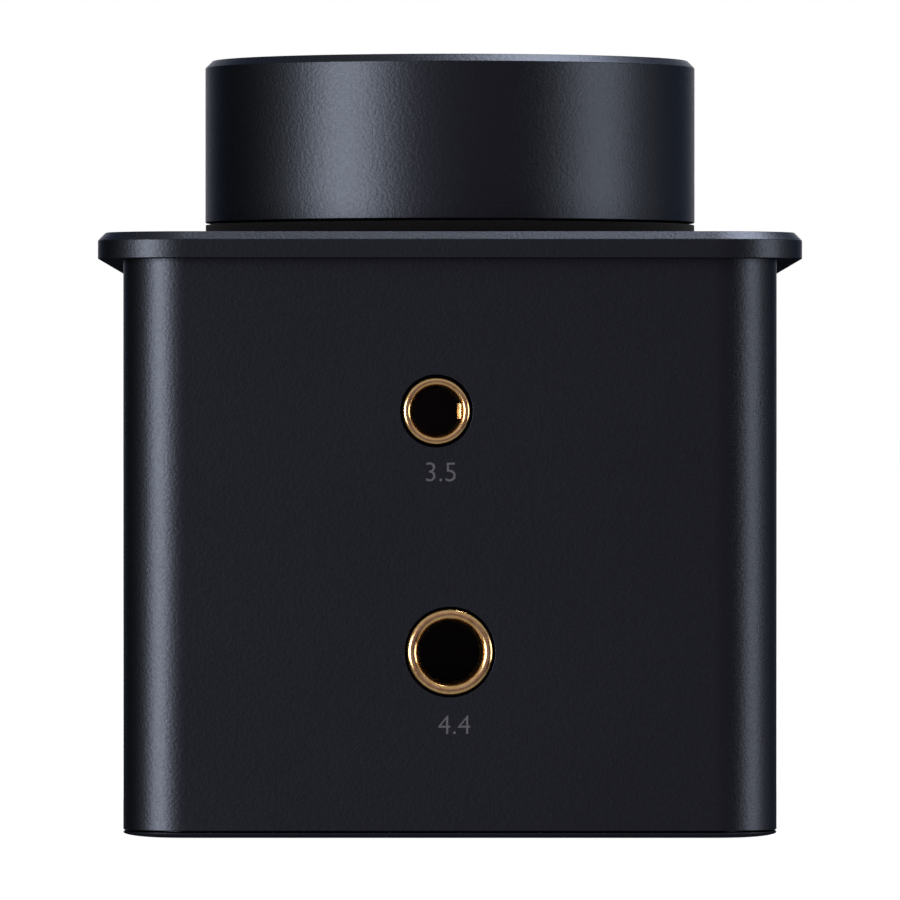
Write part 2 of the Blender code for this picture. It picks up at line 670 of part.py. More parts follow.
def make_bottom_cover():
    """Cover with a thin rim below the case and a thicker middle that plugs into it."""
    rim = rounded_rectangle(
        BODY_WIDTH - 2 * COVER_INSET, BODY_LENGTH - 2 * COVER_INSET, BODY_RADIUS - COVER_INSET,
    )
    mesh = chamfer_rim(prism([rim], FOOT_HEIGHT, COVER_RIM_TOP), FOOT_HEIGHT, COVER_CHAMFER)
    cover = add_part("bottom_cover", mesh, ANODISED)
    plug = rounded_rectangle(
        INNER_WIDTH - 2 * CLEARANCE, INNER_LENGTH - 2 * CLEARANCE,
        BODY_RADIUS - WALL - CLEARANCE,
    )
    plug_bottom = FOOT_HEIGHT + COVER_RIM / 2
    join(cover, add_cutter("cover_plug", prism([plug], plug_bottom, COVER_TOP)))
    recess = pill(foot_width() + 2 * SEAM, FOOT_LENGTH + 2 * SEAM)
    for name, y in foot_places():
        mesh = prism([recess], -CUT_MARGIN, FOOT_THICKNESS + SEAM)
        cut(cover, add_cutter("foot_recess_" + name, mesh, (0.0, y, 0.0)))
    cone = bolt_cone(SEAM)
    sink = [
        (0.0, COVER_TOP + CUT_MARGIN), (cone[0][0], COVER_TOP + CUT_MARGIN), *cone,
        (cone[1][0], -CUT_MARGIN), (0.0, -CUT_MARGIN),
    ]
    for name, x, y in corners():
        drill = turned(sink, SMALL_STEPS)
        cut(cover, add_cutter("countersink_" + name, drill, (x, y, 0.0)))


def make_feet():
    """Two rubber pads, set in the cover and just proud of it."""
    outline = pill(foot_width(), FOOT_LENGTH)
    for name, y in foot_places():
        mesh = prism([outline], 0.0, FOOT_THICKNESS)
        add_part("foot_pad_" + name, mesh, RUBBER, (0.0, y, 0.0))


def make_clamp_bolts():
    """Four long countersunk bolts with hexagon sockets."""
    face = FOOT_HEIGHT + BOLT_HEAD_SUNK
    top = PLATE_UNDERSIDE + BOLT_THREAD_DEPTH
    profile = [(0.0, top), (BOLT_RADIUS, top), *bolt_cone(0.0), (0.0, face)]
    for name, x, y in corners():
        bolt = add_part("clamp_bolt_" + name, turned(profile, SMALL_STEPS), STEEL, (x, y, 0.0))
        key = cylinder(BOLT_KEY_RADIUS, face - CUT_MARGIN, face + BOLT_KEY_DEPTH, HEXAGON)
        cut(bolt, add_cutter("bolt_key_" + name, key, (x, y, 0.0)))


def make_antenna_window():
    """Plastic window that lets the radio out of the rear wall."""
    outline = pill(ANTENNA_WIDTH, ANTENNA_HEIGHT)
    mesh = prism([outline], 0.0, WALL)
    add_part("antenna_window", mesh, PLASTIC, (0.0, REAR, ANTENNA_Z), FACING_FRONT)


# ---------------------------------------------------------------- display


def make_display():
    """Cover glass flush with the plate, its gasket, and the panel under it."""
    place = (0.0, GLASS_Y, 0.0)
    outline = rounded_rectangle(GLASS_WIDTH, GLASS_LENGTH, GLASS_RADIUS)
    add_part("display_glass", prism([outline], GLASS_BOTTOM, GLASS_TOP), GLASS, place)
    gasket_outer = rounded_rectangle(
        GLASS_WIDTH - 2 * SEAM, GLASS_LENGTH - 2 * SEAM, GLASS_RADIUS,
    )
    inner_trim = 2 * (SEAM + GASKET_WIDTH)
    gasket_inner = rectangle(GLASS_WIDTH - inner_trim, GLASS_LENGTH - inner_trim)
    gasket = prism([gasket_outer, gasket_inner], GASKET_BOTTOM, GASKET_BOTTOM + GASKET_THICKNESS)
    add_part("display_gasket", gasket, RUBBER, place)
    panel_trim = 2 * (DISPLAY_LEDGE + CLEARANCE)
    panel_top = GLASS_BOTTOM - SEAM
    panel = prism(
        [rectangle(GLASS_WIDTH - panel_trim, GLASS_LENGTH - panel_trim)],
        panel_top - PANEL_THICKNESS, panel_top,
    )
    add_part("display_panel", panel, PANEL, place)


# ---------------------------------------------------------------- knob and encoder


def make_knob_shell():
    """Turned cap with a chamfered top edge and a socket for the hub underneath."""
    top = KNOB_HEIGHT
    ceiling = KNOB_CEILING - KNOB_BOTTOM
    inner = KNOB_RADIUS - KNOB_WALL
    socket_inner = HUB_RADIUS + CLEARANCE
    socket_outer = socket_inner + HUB_SOCKET_WALL
    socket_bottom = HUB_BOTTOM - KNOB_BOTTOM
    profile = [
        (0.0, top),
        (KNOB_RADIUS - KNOB_CHAMFER, top),
        (KNOB_RADIUS, top - KNOB_CHAMFER),
        (KNOB_RADIUS, KNOB_LOWER_CHAMFER),
        (KNOB_RADIUS - KNOB_LOWER_CHAMFER, 0.0),
        (inner, 0.0),
        (inner, ceiling),
        (socket_outer, ceiling),
        (socket_outer, socket_bottom),
        (socket_inner, socket_bottom),
        (socket_inner, ceiling),
        (0.0, ceiling),
    ]
    add_part("knob_shell", turned(profile, KNOB_STEPS), ANODISED, (0.0, KNOB_Y, KNOB_BOTTOM))


def make_knob_hub():
    """Brass sleeve inside the knob, tightened on the shaft by a set screw."""
    bore = SHAFT_RADIUS + SEAM
    hub = add_part(
        "knob_hub", tube(HUB_RADIUS, bore, 0.0, HUB_HEIGHT), BRASS, (0.0, KNOB_Y, HUB_BOTTOM),
    )
    middle = HUB_BOTTOM + HUB_HEIGHT / 2
    drill = cylinder(SET_SCREW_RADIUS + SEAM, 0.0, HUB_RADIUS + CUT_MARGIN)
    cut(hub, add_cutter("set_screw_hole", drill, (0.0, KNOB_Y, middle), FACING_REAR))
    start = SHAFT_RADIUS - SHAFT_FLAT + SEAM
    screw = add_part(
        "knob_set_screw", cylinder(SET_SCREW_RADIUS, start, start + SET_SCREW_LENGTH), STEEL,
        (0.0, KNOB_Y, middle), FACING_REAR,
    )
    key_bottom = start + SET_SCREW_LENGTH - SET_SCREW_KEY_DEPTH
    key = cylinder(SET_SCREW_KEY, key_bottom, start + SET_SCREW_LENGTH + CUT_MARGIN, HEXAGON)
    cut(screw, add_cutter("set_screw_key", key, (0.0, KNOB_Y, middle), FACING_REAR))


def make_encoder_shaft():
    """Shaft with a flat for the set screw on its upper part."""
    bottom = ENCODER_TOP - SHAFT_IN_ENCODER
    top = HUB_TOP - CLEARANCE
    length = top - bottom
    mesh = cylinder(SHAFT_RADIUS, 0.0, length, ROUND_STEPS)
    shaft = add_part("encoder_shaft", mesh, STEEL, (0.0, KNOB_Y, bottom))
    flat = box(4 * SHAFT_RADIUS, 2 * SHAFT_RADIUS, 2 * (top - HUB_BOTTOM))
    place = (0.0, KNOB_Y + 2 * SHAFT_RADIUS - SHAFT_FLAT, top)
    cut(shaft, add_cutter("shaft_flat", flat, place))


def make_encoder():
    """Rotary encoder under the plate, with its bushing, washer, nut and board."""
    place = (0.0, KNOB_Y, 0.0)
    bore = SHAFT_RADIUS + RUNNING_CLEARANCE
    body = add_part(
        "encoder_body", box(ENCODER_WIDTH, ENCODER_DEPTH, ENCODER_HEIGHT), PLASTIC,
        (0.0, KNOB_Y, (ENCODER_TOP + ENCODER_BOTTOM) / 2),
    )
    socket_bottom = ENCODER_TOP - SHAFT_IN_ENCODER - CLEARANCE
    drill = cylinder(SHAFT_RADIUS + SEAM, socket_bottom, ENCODER_TOP + CUT_MARGIN, ROUND_STEPS)
    cut(body, add_cutter("encoder_socket", drill, place))
    bushing = tube(BUSHING_RADIUS, bore, ENCODER_TOP + SEAM, PLATE_TOP + BUSHING_STAND)
    add_part("encoder_bushing", bushing, BRASS, place)
    washer_bottom = PLATE_TOP + SEAM
    washer_top = washer_bottom + WASHER_THICKNESS
    hole = BUSHING_RADIUS + SEAM
    add_part("encoder_washer", tube(WASHER_RADIUS, hole, washer_bottom, washer_top), STEEL, place)
    nut_bottom = washer_top + SEAM
    nut_top = nut_bottom + NUT_THICKNESS
    nut_mesh = cylinder(NUT_RADIUS, nut_bottom, nut_top, HEXAGON)
    nut = add_part("encoder_nut", nut_mesh, STEEL, place)
    thread = cylinder(hole, nut_bottom - CUT_MARGIN, nut_top + CUT_MARGIN, ROUND_STEPS)
    cut(nut, add_cutter("nut_thread", thread, place))
    board = box(ENCODER_BOARD_WIDTH, ENCODER_DEPTH, ENCODER_BOARD_THICKNESS)
    board_place = (0.0, KNOB_Y, (ENCODER_BOARD_TOP + ENCODER_BOARD_BOTTOM) / 2)
    add_part("encoder_board", board, BOARD, board_place)


def make_knob_base_ring():
    """Black ring on the plate, just under the rim of the knob."""
    outer = KNOB_RADIUS - RING_INSET
    ring = tube(outer, outer - RING_WIDTH, SEAM, KNOB_LIFT - RING_GAP, KNOB_STEPS)
    add_part("knob_base_ring", ring, PLASTIC, (0.0, KNOB_Y, PLATE_TOP))


# ---------------------------------------------------------------- jacks


def jack_ring(name, place, outer, bore):
    """Gilded sleeve seen in the front wall, with a lip that leads the plug in."""
    front = JACK_RING_PROUD
    profile = [
        (outer - JACK_EDGE, front),
        (outer, front - JACK_EDGE),
        (outer, front - JACK_RING_LENGTH),
        (bore, front - JACK_RING_LENGTH),
        (bore, front - JACK_LIP),
        (bore + JACK_LIP, front),
    ]
    add_part(name, turned(profile, ROUND_STEPS, ring=True), GILT, place, FACING_FRONT)


def jack_body(name, place, ring_outer, bore, width, length, low, high):
    """Housing behind the wall, bored for the plug, with a slot for its spring contact."""
    front = FRONT - JACK_BODY_FRONT
    mesh = box(width, high - low, length)
    shift(mesh, 0.0, (low + high) / 2 - place[2], front - length / 2)
    body = add_part(name + "_body", mesh, PLASTIC, place, FACING_FRONT)
    bore_end = front - length + JACK_END_WALL
    ring_end = JACK_RING_PROUD - JACK_RING_LENGTH - CLEARANCE
    contact_y = ring_end - CONTACT_BEHIND_RING
    slot_width = bore + 2 * CONTACT_THICKNESS + 2 * CLEARANCE
    slot = box(slot_width, CONTACT_HEIGHT + 2 * CLEARANCE, CONTACT_LENGTH + 2 * CLEARANCE)
    shift(slot, slot_width / 2, 0.0, contact_y - CONTACT_LENGTH / 2)
    hollow = cylinder(bore, bore_end, CUT_MARGIN, ROUND_STEPS)
    seat = cylinder(ring_outer + CLEARANCE, ring_end, CUT_MARGIN, ROUND_STEPS)
    for part_name, mesh in (("_bore", hollow), ("_seat", seat), ("_slot", slot)):
        cut(body, add_cutter(name + part_name, mesh, place, FACING_FRONT))
    add_part(name + "_contact", contact_spring(bore, contact_y), GILT, place, FACING_FRONT)


def contact_spring(bore, start):
    """Bent leaf that reaches a little way into the bore."""
    back = bore + CONTACT_THICKNESS
    tip = bore - CONTACT_REACH
    outline = [
        (back, 0.0),
        (tip + CONTACT_THICKNESS, -CONTACT_BEND),
        (back, -CONTACT_LENGTH),
        (back - CONTACT_THICKNESS, -CONTACT_LENGTH),
        (tip, -CONTACT_BEND),
        (back - CONTACT_THICKNESS, 0.0),
    ]
    mesh = prism([outline], -CONTACT_HEIGHT / 2, CONTACT_HEIGHT / 2)
    mesh.transform(Matrix.Rotation(math.radians(90), 4, "X"))
    shift(mesh, 0.0, 0.0, start)
    return mesh


def make_jacks():
    """3.5 mm jack on the main board, and 4.4 mm jack under the audio board."""
    place = (PHONES_X, FRONT, PHONES_Z)
    jack_ring("phones_jack_ring", place, PHONES_RING, PHONES_BORE)
    jack_body(
        "phones_jack", place, PHONES_RING, PHONES_BORE, PHONES_BODY_WIDTH, PHONES_BODY_LENGTH,
        PHONES_BODY_BOTTOM, PHONES_BODY_TOP,
    )
    place = (BALANCED_X, FRONT, BALANCED_Z)
    jack_ring("balanced_jack_ring", place, BALANCED_RING, BALANCED_BORE)
    jack_body(
        "balanced_jack", place, BALANCED_RING, BALANCED_BORE, BALANCED_BODY_WIDTH,
        BALANCED_BODY_LENGTH, BALANCED_BODY_BOTTOM, BALANCED_BODY_TOP,
    )


# ---------------------------------------------------------------- boards and battery


def make_boards():
    """Main board on the rib, and audio board under it, held by four screws."""
    outline = notched_rectangle(
        INNER_WIDTH - 2 * CLEARANCE, INNER_LENGTH - 2 * CLEARANCE, POST,
    )
    for name, low in (("main_board", MAIN_BOARD_BOTTOM), ("audio_board", AUDIO_BOARD_BOTTOM)):
        board = add_part(name, prism([outline], low, low + BOARD_THICKNESS), BOARD)
        for place_name, x, y in board_screw_places():
            radius = BOARD_SCREW_RADIUS + SEAM
            drill = cylinder(radius, low - CUT_MARGIN, low + BOARD_THICKNESS + CUT_MARGIN)
            hole = add_cutter(name + "_hole_" + place_name, drill, (x, y, 0.0))
            cut(board, hole, solver="MANIFOLD")
    head_bottom = MAIN_BOARD_TOP + SEAM
    head_top = head_bottom + BOARD_SCREW_HEAD_HEIGHT
    profile = [
        (0.0, head_top),
        (BOARD_SCREW_HEAD, head_top),
        (BOARD_SCREW_HEAD, head_bottom),
        (BOARD_SCREW_RADIUS, head_bottom),
        (BOARD_SCREW_RADIUS, AUDIO_BOARD_BOTTOM),
        (0.0, AUDIO_BOARD_BOTTOM),
    ]
    for name, x, y in board_screw_places():
        add_part("board_screw_" + name, turned(profile, SMALL_STEPS), STEEL, (x, y, 0.0))


def make_processor():
    """Processor on the main board, under its shield can."""
    middle = MAIN_BOARD_TOP + SEAM + PROCESSOR_HEIGHT / 2
    chip = box(PROCESSOR_SIZE, PROCESSOR_SIZE, PROCESSOR_HEIGHT)
    add_part("processor_chip", chip, CHIP, (0.0, SHIELD_Y, middle))
    low = MAIN_BOARD_TOP + SEAM
    can = box(SHIELD_WIDTH, SHIELD_LENGTH, SHIELD_HEIGHT)
    middle = low + SHIELD_HEIGHT / 2
    shield = add_part("processor_shield", can, STEEL, (0.0, SHIELD_Y, middle))
    room = box(SHIELD_WIDTH - 2 * SHIELD_WALL, SHIELD_LENGTH - 2 * SHIELD_WALL, SHIELD_HEIGHT)
    cut(shield, add_cutter("shield_room", room, (0.0, SHIELD_Y, middle - SHIELD_WALL)))


def make_audio_parts():
    """Two converter chips on the audio board, and four capacitors under it."""
    chip_z = AUDIO_BOARD_TOP + SEAM + DAC_HEIGHT / 2
    for side, x in (("left", -DAC_X), ("right", DAC_X)):
        add_part("dac_chip_" + side, box(DAC_SIZE, DAC_SIZE, DAC_HEIGHT), CHIP, (x, DAC_Y, chip_z))
    for index in range(CAPACITOR_COUNT):
        x = (index - (CAPACITOR_COUNT - 1) / 2) * CAPACITOR_PITCH
        can = cylinder(CAPACITOR_RADIUS, CAPACITOR_BOTTOM, CAPACITOR_TOP)
        add_part(f"output_capacitor_{index + 1}", can, CAN, (x, CAPACITOR_Y, 0.0))


def make_battery():
    """Lithium pack on a foam pad, on the bottom cover."""
    pad = box(BATTERY_WIDTH, BATTERY_LENGTH, BATTERY_PAD_THICKNESS)
    pad_z = COVER_TOP + CLEARANCE + BATTERY_PAD_THICKNESS / 2
    add_part("battery_pad", pad, RUBBER, (0.0, BATTERY_Y, pad_z))
    pack = box(BATTERY_WIDTH, BATTERY_LENGTH, BATTERY_HEIGHT, BATTERY_RADIUS, BATTERY_EDGE_STEPS)
    pack_z = BATTERY_BOTTOM + BATTERY_HEIGHT / 2
    add_part("battery_pack", pack, BATTERY, (0.0, BATTERY_Y, pack_z))


# ---------------------------------------------------------------- rear wall


def make_usb():
    """Charging receptacle: a metal shell with a contact tongue inside."""
    place = (USB_X, REAR - USB_SUNK, USB_Z)
    outer = pill(USB_WIDTH, USB_HEIGHT)
    inner = pill(USB_WIDTH - 2 * USB_WALL, USB_HEIGHT - 2 * USB_WALL)
    shell = prism([outer, inner], 0.0, USB_LENGTH)
    add_part("usb_shell", shell, STEEL, place, FACING_FRONT)
    block = pill(USB_WIDTH - 2 * USB_WALL - 2 * SEAM, USB_HEIGHT - 2 * USB_WALL - 2 * SEAM)
    block_mesh = prism([block], USB_LENGTH - USB_BLOCK_LENGTH, USB_LENGTH)
    tongue = add_part("usb_tongue", block_mesh, PLASTIC, place, FACING_FRONT)
    blade_length = USB_LENGTH - USB_TONGUE_SUNK - USB_BLOCK_LENGTH / 2
    blade = box(USB_TONGUE_WIDTH, USB_TONGUE_THICKNESS, blade_length)
    shift(blade, 0.0, 0.0, USB_TONGUE_SUNK + blade_length / 2)
    join(tongue, add_cutter("usb_blade", blade, place, FACING_FRONT))


def make_card_tray():
    """Card tray that pulls out of the rear wall, with a bed for the card and a pinhole."""
    face = prism([pill(TRAY_FACE_WIDTH, TRAY_FACE_HEIGHT)], 0.0, WALL)
    place = (TRAY_X, REAR - TRAY_FACE_SUNK, TRAY_Z)
    tray = add_part("card_tray", face, ANODISED, place, FACING_FRONT)
    bed_start = WALL / 2
    bed_length = TRAY_BED_LENGTH + WALL / 2
    bed = box(TRAY_BED_WIDTH, TRAY_BED_HEIGHT, bed_length)
    shift(bed, 0.0, 0.0, bed_start + bed_length / 2)
    join(tray, add_cutter("tray_bed", bed, place, FACING_FRONT))
    card = box(TRAY_CARD_WIDTH, TRAY_BED_HEIGHT, TRAY_CARD_LENGTH)
    shift(card, 0.0, TRAY_FLOOR, WALL + CLEARANCE + TRAY_CARD_LENGTH / 2)
    pinhole = cylinder(TRAY_PINHOLE_RADIUS, -CUT_MARGIN, TRAY_PINHOLE_DEPTH)
    shift(pinhole, TRAY_FACE_WIDTH / 2 - TRAY_FACE_HEIGHT / 2, 0.0, 0.0)
    cut(
        tray,
        add_cutter("tray_card", card, place, FACING_FRONT),
        add_cutter("tray_pinhole", pinhole, place, FACING_FRONT),
    )


def make_card_socket():
    """Metal socket on the main board, open to the rear, that guides the tray."""
    room_height = TRAY_BED_HEIGHT + 2 * CLEARANCE
    start = WALL + CLEARANCE
    length = TRAY_BED_LENGTH + CLEARANCE
    place = (TRAY_X, REAR, TRAY_Z)
    outer = box(SOCKET_WIDTH, room_height + 2 * SOCKET_WALL, length)
    shift(outer, 0.0, 0.0, start + length / 2)
    socket = add_part("card_socket", outer, STEEL, place, FACING_FRONT)
    room = box(SOCKET_ROOM_WIDTH, room_height, length)
    shift(room, 0.0, 0.0, start - SOCKET_WALL + length / 2)
    cut(socket, add_cutter("socket_room", room, place, FACING_FRONT))


# ---------------------------------------------------------------- buttons


def make_button(name, y):
    """Pill-shaped cap that stands out of the wall, held in by an inner flange."""
    outer_face = BUTTON_PROUD
    inner_face = BUTTON_BACK - BODY_WIDTH / 2
    cap = prism([pill(BUTTON_HEIGHT, BUTTON_LENGTH)], inner_face, outer_face)
    chamfer_rim(cap, outer_face, BUTTON_EDGE)
    place = (BODY_WIDTH / 2, y, BUTTON_Z)
    button = add_part(name + "_button", cap, ANODISED, place, FACING_RIGHT)
    flange_outline = pill(
        BUTTON_HEIGHT + 2 * BUTTON_FLANGE, BUTTON_LENGTH + 2 * BUTTON_FLANGE,
    )
    flange_top = inner_face + BUTTON_FLANGE_THICKNESS
    flange = prism([flange_outline], inner_face - SEAM / 2, flange_top)
    join(button, add_cutter(name + "_flange", flange, place, FACING_RIGHT))


def make_switch(name, y):
    """Tactile switch behind a button."""
    body = box(SWITCH_DEPTH, SWITCH_LENGTH, SWITCH_HEIGHT)
    place = (SWITCH_FACE - SWITCH_DEPTH / 2, y, BUTTON_Z)
    switch = add_part(name + "_switch", body, STEEL, place)
    plunger = cylinder(SWITCH_PLUNGER_RADIUS, -SWITCH_DEPTH / 2, SWITCH_PLUNGER_LENGTH)
    plunger_place = (SWITCH_FACE, y, BUTTON_Z)
    join(switch, add_cutter(name + "_plunger", plunger, plunger_place, FACING_RIGHT))


def make_button_board():
    """Upright board that carries the four switches."""
    low, high = button_board_span()
    board = box(BUTTON_BOARD_THICKNESS, high - low, BUTTON_BOARD_HEIGHT)
    x = BUTTON_BOARD_FACE - BUTTON_BOARD_THICKNESS / 2
    add_part("button_board", board, BOARD, (x, (low + high) / 2, BUTTON_Z))


clear_scene()
PLAYER = new_collection("digital_audio_player")
CUTTERS = new_collection("cutters")
ANODISED = make_material("anodised_aluminium", (0.012, 0.012, 0.017), 0.42, 0.9)
PLASTIC = make_material("black_plastic", (0.01, 0.01, 0.011), 0.5, 0.0)
GILT = make_material("gilt_brass", (0.75, 0.48, 0.2), 0.25, 1.0)
BRASS = make_material("brass", (0.7, 0.53, 0.25), 0.35, 1.0)
STEEL = make_material("steel", (0.5, 0.5, 0.52), 0.35, 1.0)
GLASS = make_material("cover_glass", (0.01, 0.01, 0.012), 0.05, 0.0)
PANEL = make_material("display_panel", (0.02, 0.02, 0.025), 0.3, 0.0)
RUBBER = make_material("black_rubber", (0.015, 0.015, 0.015), 0.8, 0.0)
BOARD = make_material("circuit_board", (0.01, 0.05, 0.03), 0.5, 0.0)
CHIP = make_material("chip_resin", (0.02, 0.02, 0.02), 0.6, 0.0)
CAN = make_material("capacitor_can", (0.6, 0.6, 0.62), 0.3, 1.0)
BATTERY = make_material("battery_film", (0.35, 0.37, 0.4), 0.45, 0.0)

make_case()
make_top_plate()
make_bottom_cover()
make_feet()
make_clamp_bolts()
make_antenna_window()
make_display()
make_knob_shell()
make_knob_hub()
make_encoder_shaft()
make_encoder()
make_knob_base_ring()
make_jacks()
make_boards()
make_processor()
make_audio_parts()
make_battery()
make_usb()
make_card_tray()
make_card_socket()
for button_name, button_y in BUTTON_PLACES.items():
    make_button(button_name, button_y)
    make_switch(button_name, button_y)
make_button_board()
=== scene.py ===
"""Looks of the digital audio player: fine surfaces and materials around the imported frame.

The frame gives every place. The pieces here repeat the frame's shapes with fine arcs and
softened edges, in metres, +Z up, with the headphone jacks facing -Y.
"""
import json
import math

import bmesh
import bpy
from mathutils import Matrix, Vector


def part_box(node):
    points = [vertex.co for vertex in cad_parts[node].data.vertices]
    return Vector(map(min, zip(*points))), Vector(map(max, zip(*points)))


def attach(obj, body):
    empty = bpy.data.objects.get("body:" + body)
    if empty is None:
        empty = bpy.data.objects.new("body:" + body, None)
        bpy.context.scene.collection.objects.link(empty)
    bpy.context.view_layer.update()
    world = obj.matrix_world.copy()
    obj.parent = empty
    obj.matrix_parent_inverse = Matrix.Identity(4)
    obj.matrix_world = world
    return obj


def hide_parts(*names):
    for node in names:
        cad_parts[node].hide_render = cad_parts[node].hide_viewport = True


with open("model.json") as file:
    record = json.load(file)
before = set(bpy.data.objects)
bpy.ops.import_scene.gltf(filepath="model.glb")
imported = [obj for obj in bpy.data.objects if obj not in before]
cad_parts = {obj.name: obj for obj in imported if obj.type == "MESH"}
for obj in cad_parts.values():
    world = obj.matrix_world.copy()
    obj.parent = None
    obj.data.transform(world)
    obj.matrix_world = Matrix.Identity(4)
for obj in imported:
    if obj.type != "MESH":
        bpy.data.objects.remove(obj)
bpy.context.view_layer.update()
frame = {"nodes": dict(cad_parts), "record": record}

MM = 0.001

# How finely arcs are stepped
CORNER_STEPS = 24
TURN_STEPS = 192
SMALL_TURN_STEPS = 96
SINK_STEPS = 64
BOLT_STEPS = 48
DRILL_STEPS = 32
POWER_RING_STEPS = 28
BEAD_STEPS = 20
CROWN_STEPS = 16
PILL_STEPS = 16
COVER_STEPS = 12
HEXAGON = 6

# How finely meshes are welded and compared
WELD = 0.0005 * MM
SAME_POINT = 0.001 * MM
LEVEL = 0.01 * MM
SMOOTH_ANGLE = math.radians(35)

# How far a cutter runs past what it cuts
MARGIN = 1.0 * MM
OVERLAP = 0.25 * MM

# Widths of softened edges
EDGE = 0.05 * MM
CASE_EDGE = 0.04 * MM
THIN_EDGE = 0.02 * MM
PORT_EDGE = 0.08 * MM
GLASS_EDGE = 0.12 * MM
BUTTON_EDGE = 0.15 * MM

# The sizes from here on are those that the frame's boxes don't give.

# Body: gaps round its pieces, its walls, corner posts and the rib between its two rooms
SEAM = 0.15 * MM
CLEARANCE = 0.3 * MM
BODY_RADIUS = 4.4 * MM
WALL = 1.8 * MM
POST = 5.0 * MM
RIB_TOP = 22.0 * MM
RIB_BOTTOM = 20.4 * MM
RIB_DEPTH = 3.6 * MM
PLATE_CHAMFER = 0.55 * MM
GLASS_RADIUS = 2.6 * MM

# Bottom cover and bolts
COVER_RIM = 0.35 * MM
COVER_LIP = 0.04 * MM
COVER_DROP = 0.07 * MM
COVER_SWEEP = 3.2 * MM
BOLT_RADIUS = 1.0 * MM
BOLT_HEAD_RADIUS = 1.9 * MM
BOLT_KEY_RADIUS = 0.75 * MM
BOLT_KEY_DEPTH = 0.7 * MM

# Knob and the ring under it
KNOB_CHAMFER = 0.5 * MM
KNOB_FOOT_CHAMFER = 0.05 * MM
KNOB_WALL = 2.4 * MM
KNOB_TOP_WALL = 1.8 * MM
HUB_SOCKET_WALL = 1.6 * MM
RING_INSET = 0.02 * MM
RING_GAP = 0.13 * MM
RING_WIDTH = 2.4 * MM

# Jacks: their bores, the spring crown inside each, and the leaf in the 3.5 mm one
PHONES_HOLE = 2.5 * MM
PHONES_BORE = 1.775 * MM
BALANCED_HOLE = 3.11 * MM
BALANCED_BORE = 2.24 * MM
CROWN_GAP = 0.01 * MM
CROWN_SHEET = 0.07 * MM
CROWN_TIP = 0.05
CROWN_TAPER = 5
CROWN_BOW = 0.13 * MM
CROWN_LENGTH = 2.4 * MM
CROWN_SLOT = 0.12 * MM
CROWN_SLOT_DEPTH = 0.62 * CROWN_LENGTH
LEAF_HEIGHT = 1.07 * MM
LEAF_FRONT = 0.74 * MM
LEAF_REAR = 2.6 * MM
LEAF_GAP = 0.09 * MM
# The leaf's bent nose, as (radius, depth)
LEAF_NOSE = (
    (1.42 * MM, 1.7 * MM), (1.38 * MM, 1.1 * MM), (1.41 * MM, 0.93 * MM), (1.45 * MM, 0.89 * MM),
)

# Plug sizes printed under the jacks
MARK_SIZE = 1.9 * MM
MARK_DEPTH = 0.004 * MM
MARK_THINNING = 0.018 * MM
MARK_PROUD = 0.006 * MM
MARK_SHIFT = 0.3 * MM
PHONES_MARK_DROP = 4.25 * MM
BALANCED_MARK_DROP = 5.05 * MM

# Charging port
USB_WALL = 0.3 * MM
TONGUE_HEIGHT = 0.7 * MM
TONGUE_WIDTH = 6.6 * MM
TONGUE_BLOCK = 2.0 * MM
PORT_CONTACTS = 12
PORT_PITCH = 0.5 * MM
PORT_CONTACT_WIDTH = 0.27 * MM
PORT_CONTACT_LENGTH = 3.2 * MM
PORT_CONTACT_PROUD = 0.015 * MM
PORT_CONTACT_INSET = 0.5 * MM

# Card tray
TRAY_BED_WIDTH = 12.2 * MM
TRAY_BED_HEIGHT = 1.2 * MM
TRAY_FLOOR = 0.5 * MM
CARD_WIDTH = 11.2 * MM
CARD_LENGTH = 14.4 * MM
CARD_RADIUS = 0.6 * MM
PINHOLE_RADIUS = 0.5 * MM
PINHOLE_DEPTH = 1.2 * MM

# Buttons and their symbols; the gap of the power ring is in degrees
BUTTON_HEIGHT = 3.2 * MM
BUTTON_LENGTH = 8.6 * MM
BUTTON_FLANGE_THICKNESS = 0.8 * MM
ICON_LINE = 0.16 * MM
ICON_PROUD = 0.006 * MM
ICON_SUNK = 0.02 * MM
ARROW_REACH = 0.4 * MM
ARROW_RISE = 0.5 * MM
PAUSE_BARS = (0.22 * MM, 0.56 * MM)
POWER_RADIUS = 0.66 * MM
POWER_BAR = (0.12 * MM, 0.8 * MM)
POWER_GAP = 80

# Turns from a shape's own axes to the frame's
FACING_FRONT = (math.radians(90), 0.0, 0.0)
FACING_RIGHT = (0.0, math.radians(90), 0.0)
UPRIGHT = (0.0, 0.0, 0.0)


# ---------------------------------------------------------------- shapes


def slab(outline, low, high):
    """Outline extruded from low to high."""
    shape = bmesh.new()
    bottom = shape.faces.new([shape.verts.new((x, y, low)) for x, y in outline])
    grown = bmesh.ops.extrude_face_region(shape, geom=[bottom])
    top = [item for item in grown["geom"] if isinstance(item, bmesh.types.BMVert)]
    bmesh.ops.translate(shape, verts=top, vec=(0.0, 0.0, high - low))
    return closed_mesh(shape)


def lofted(layers):
    """Solid through outlines of the same count, each at its own height."""
    shape = bmesh.new()
    rings = [[shape.verts.new((x, y, height)) for x, y in outline] for outline, height in layers]
    shape.faces.new(rings[0])
    shape.faces.new(rings[-1][::-1])
    for upper, lower in zip(rings, rings[1:]):
        for index in range(len(upper)):
            shape.faces.new((upper[index - 1], upper[index], lower[index], lower[index - 1]))
    return closed_mesh(shape)


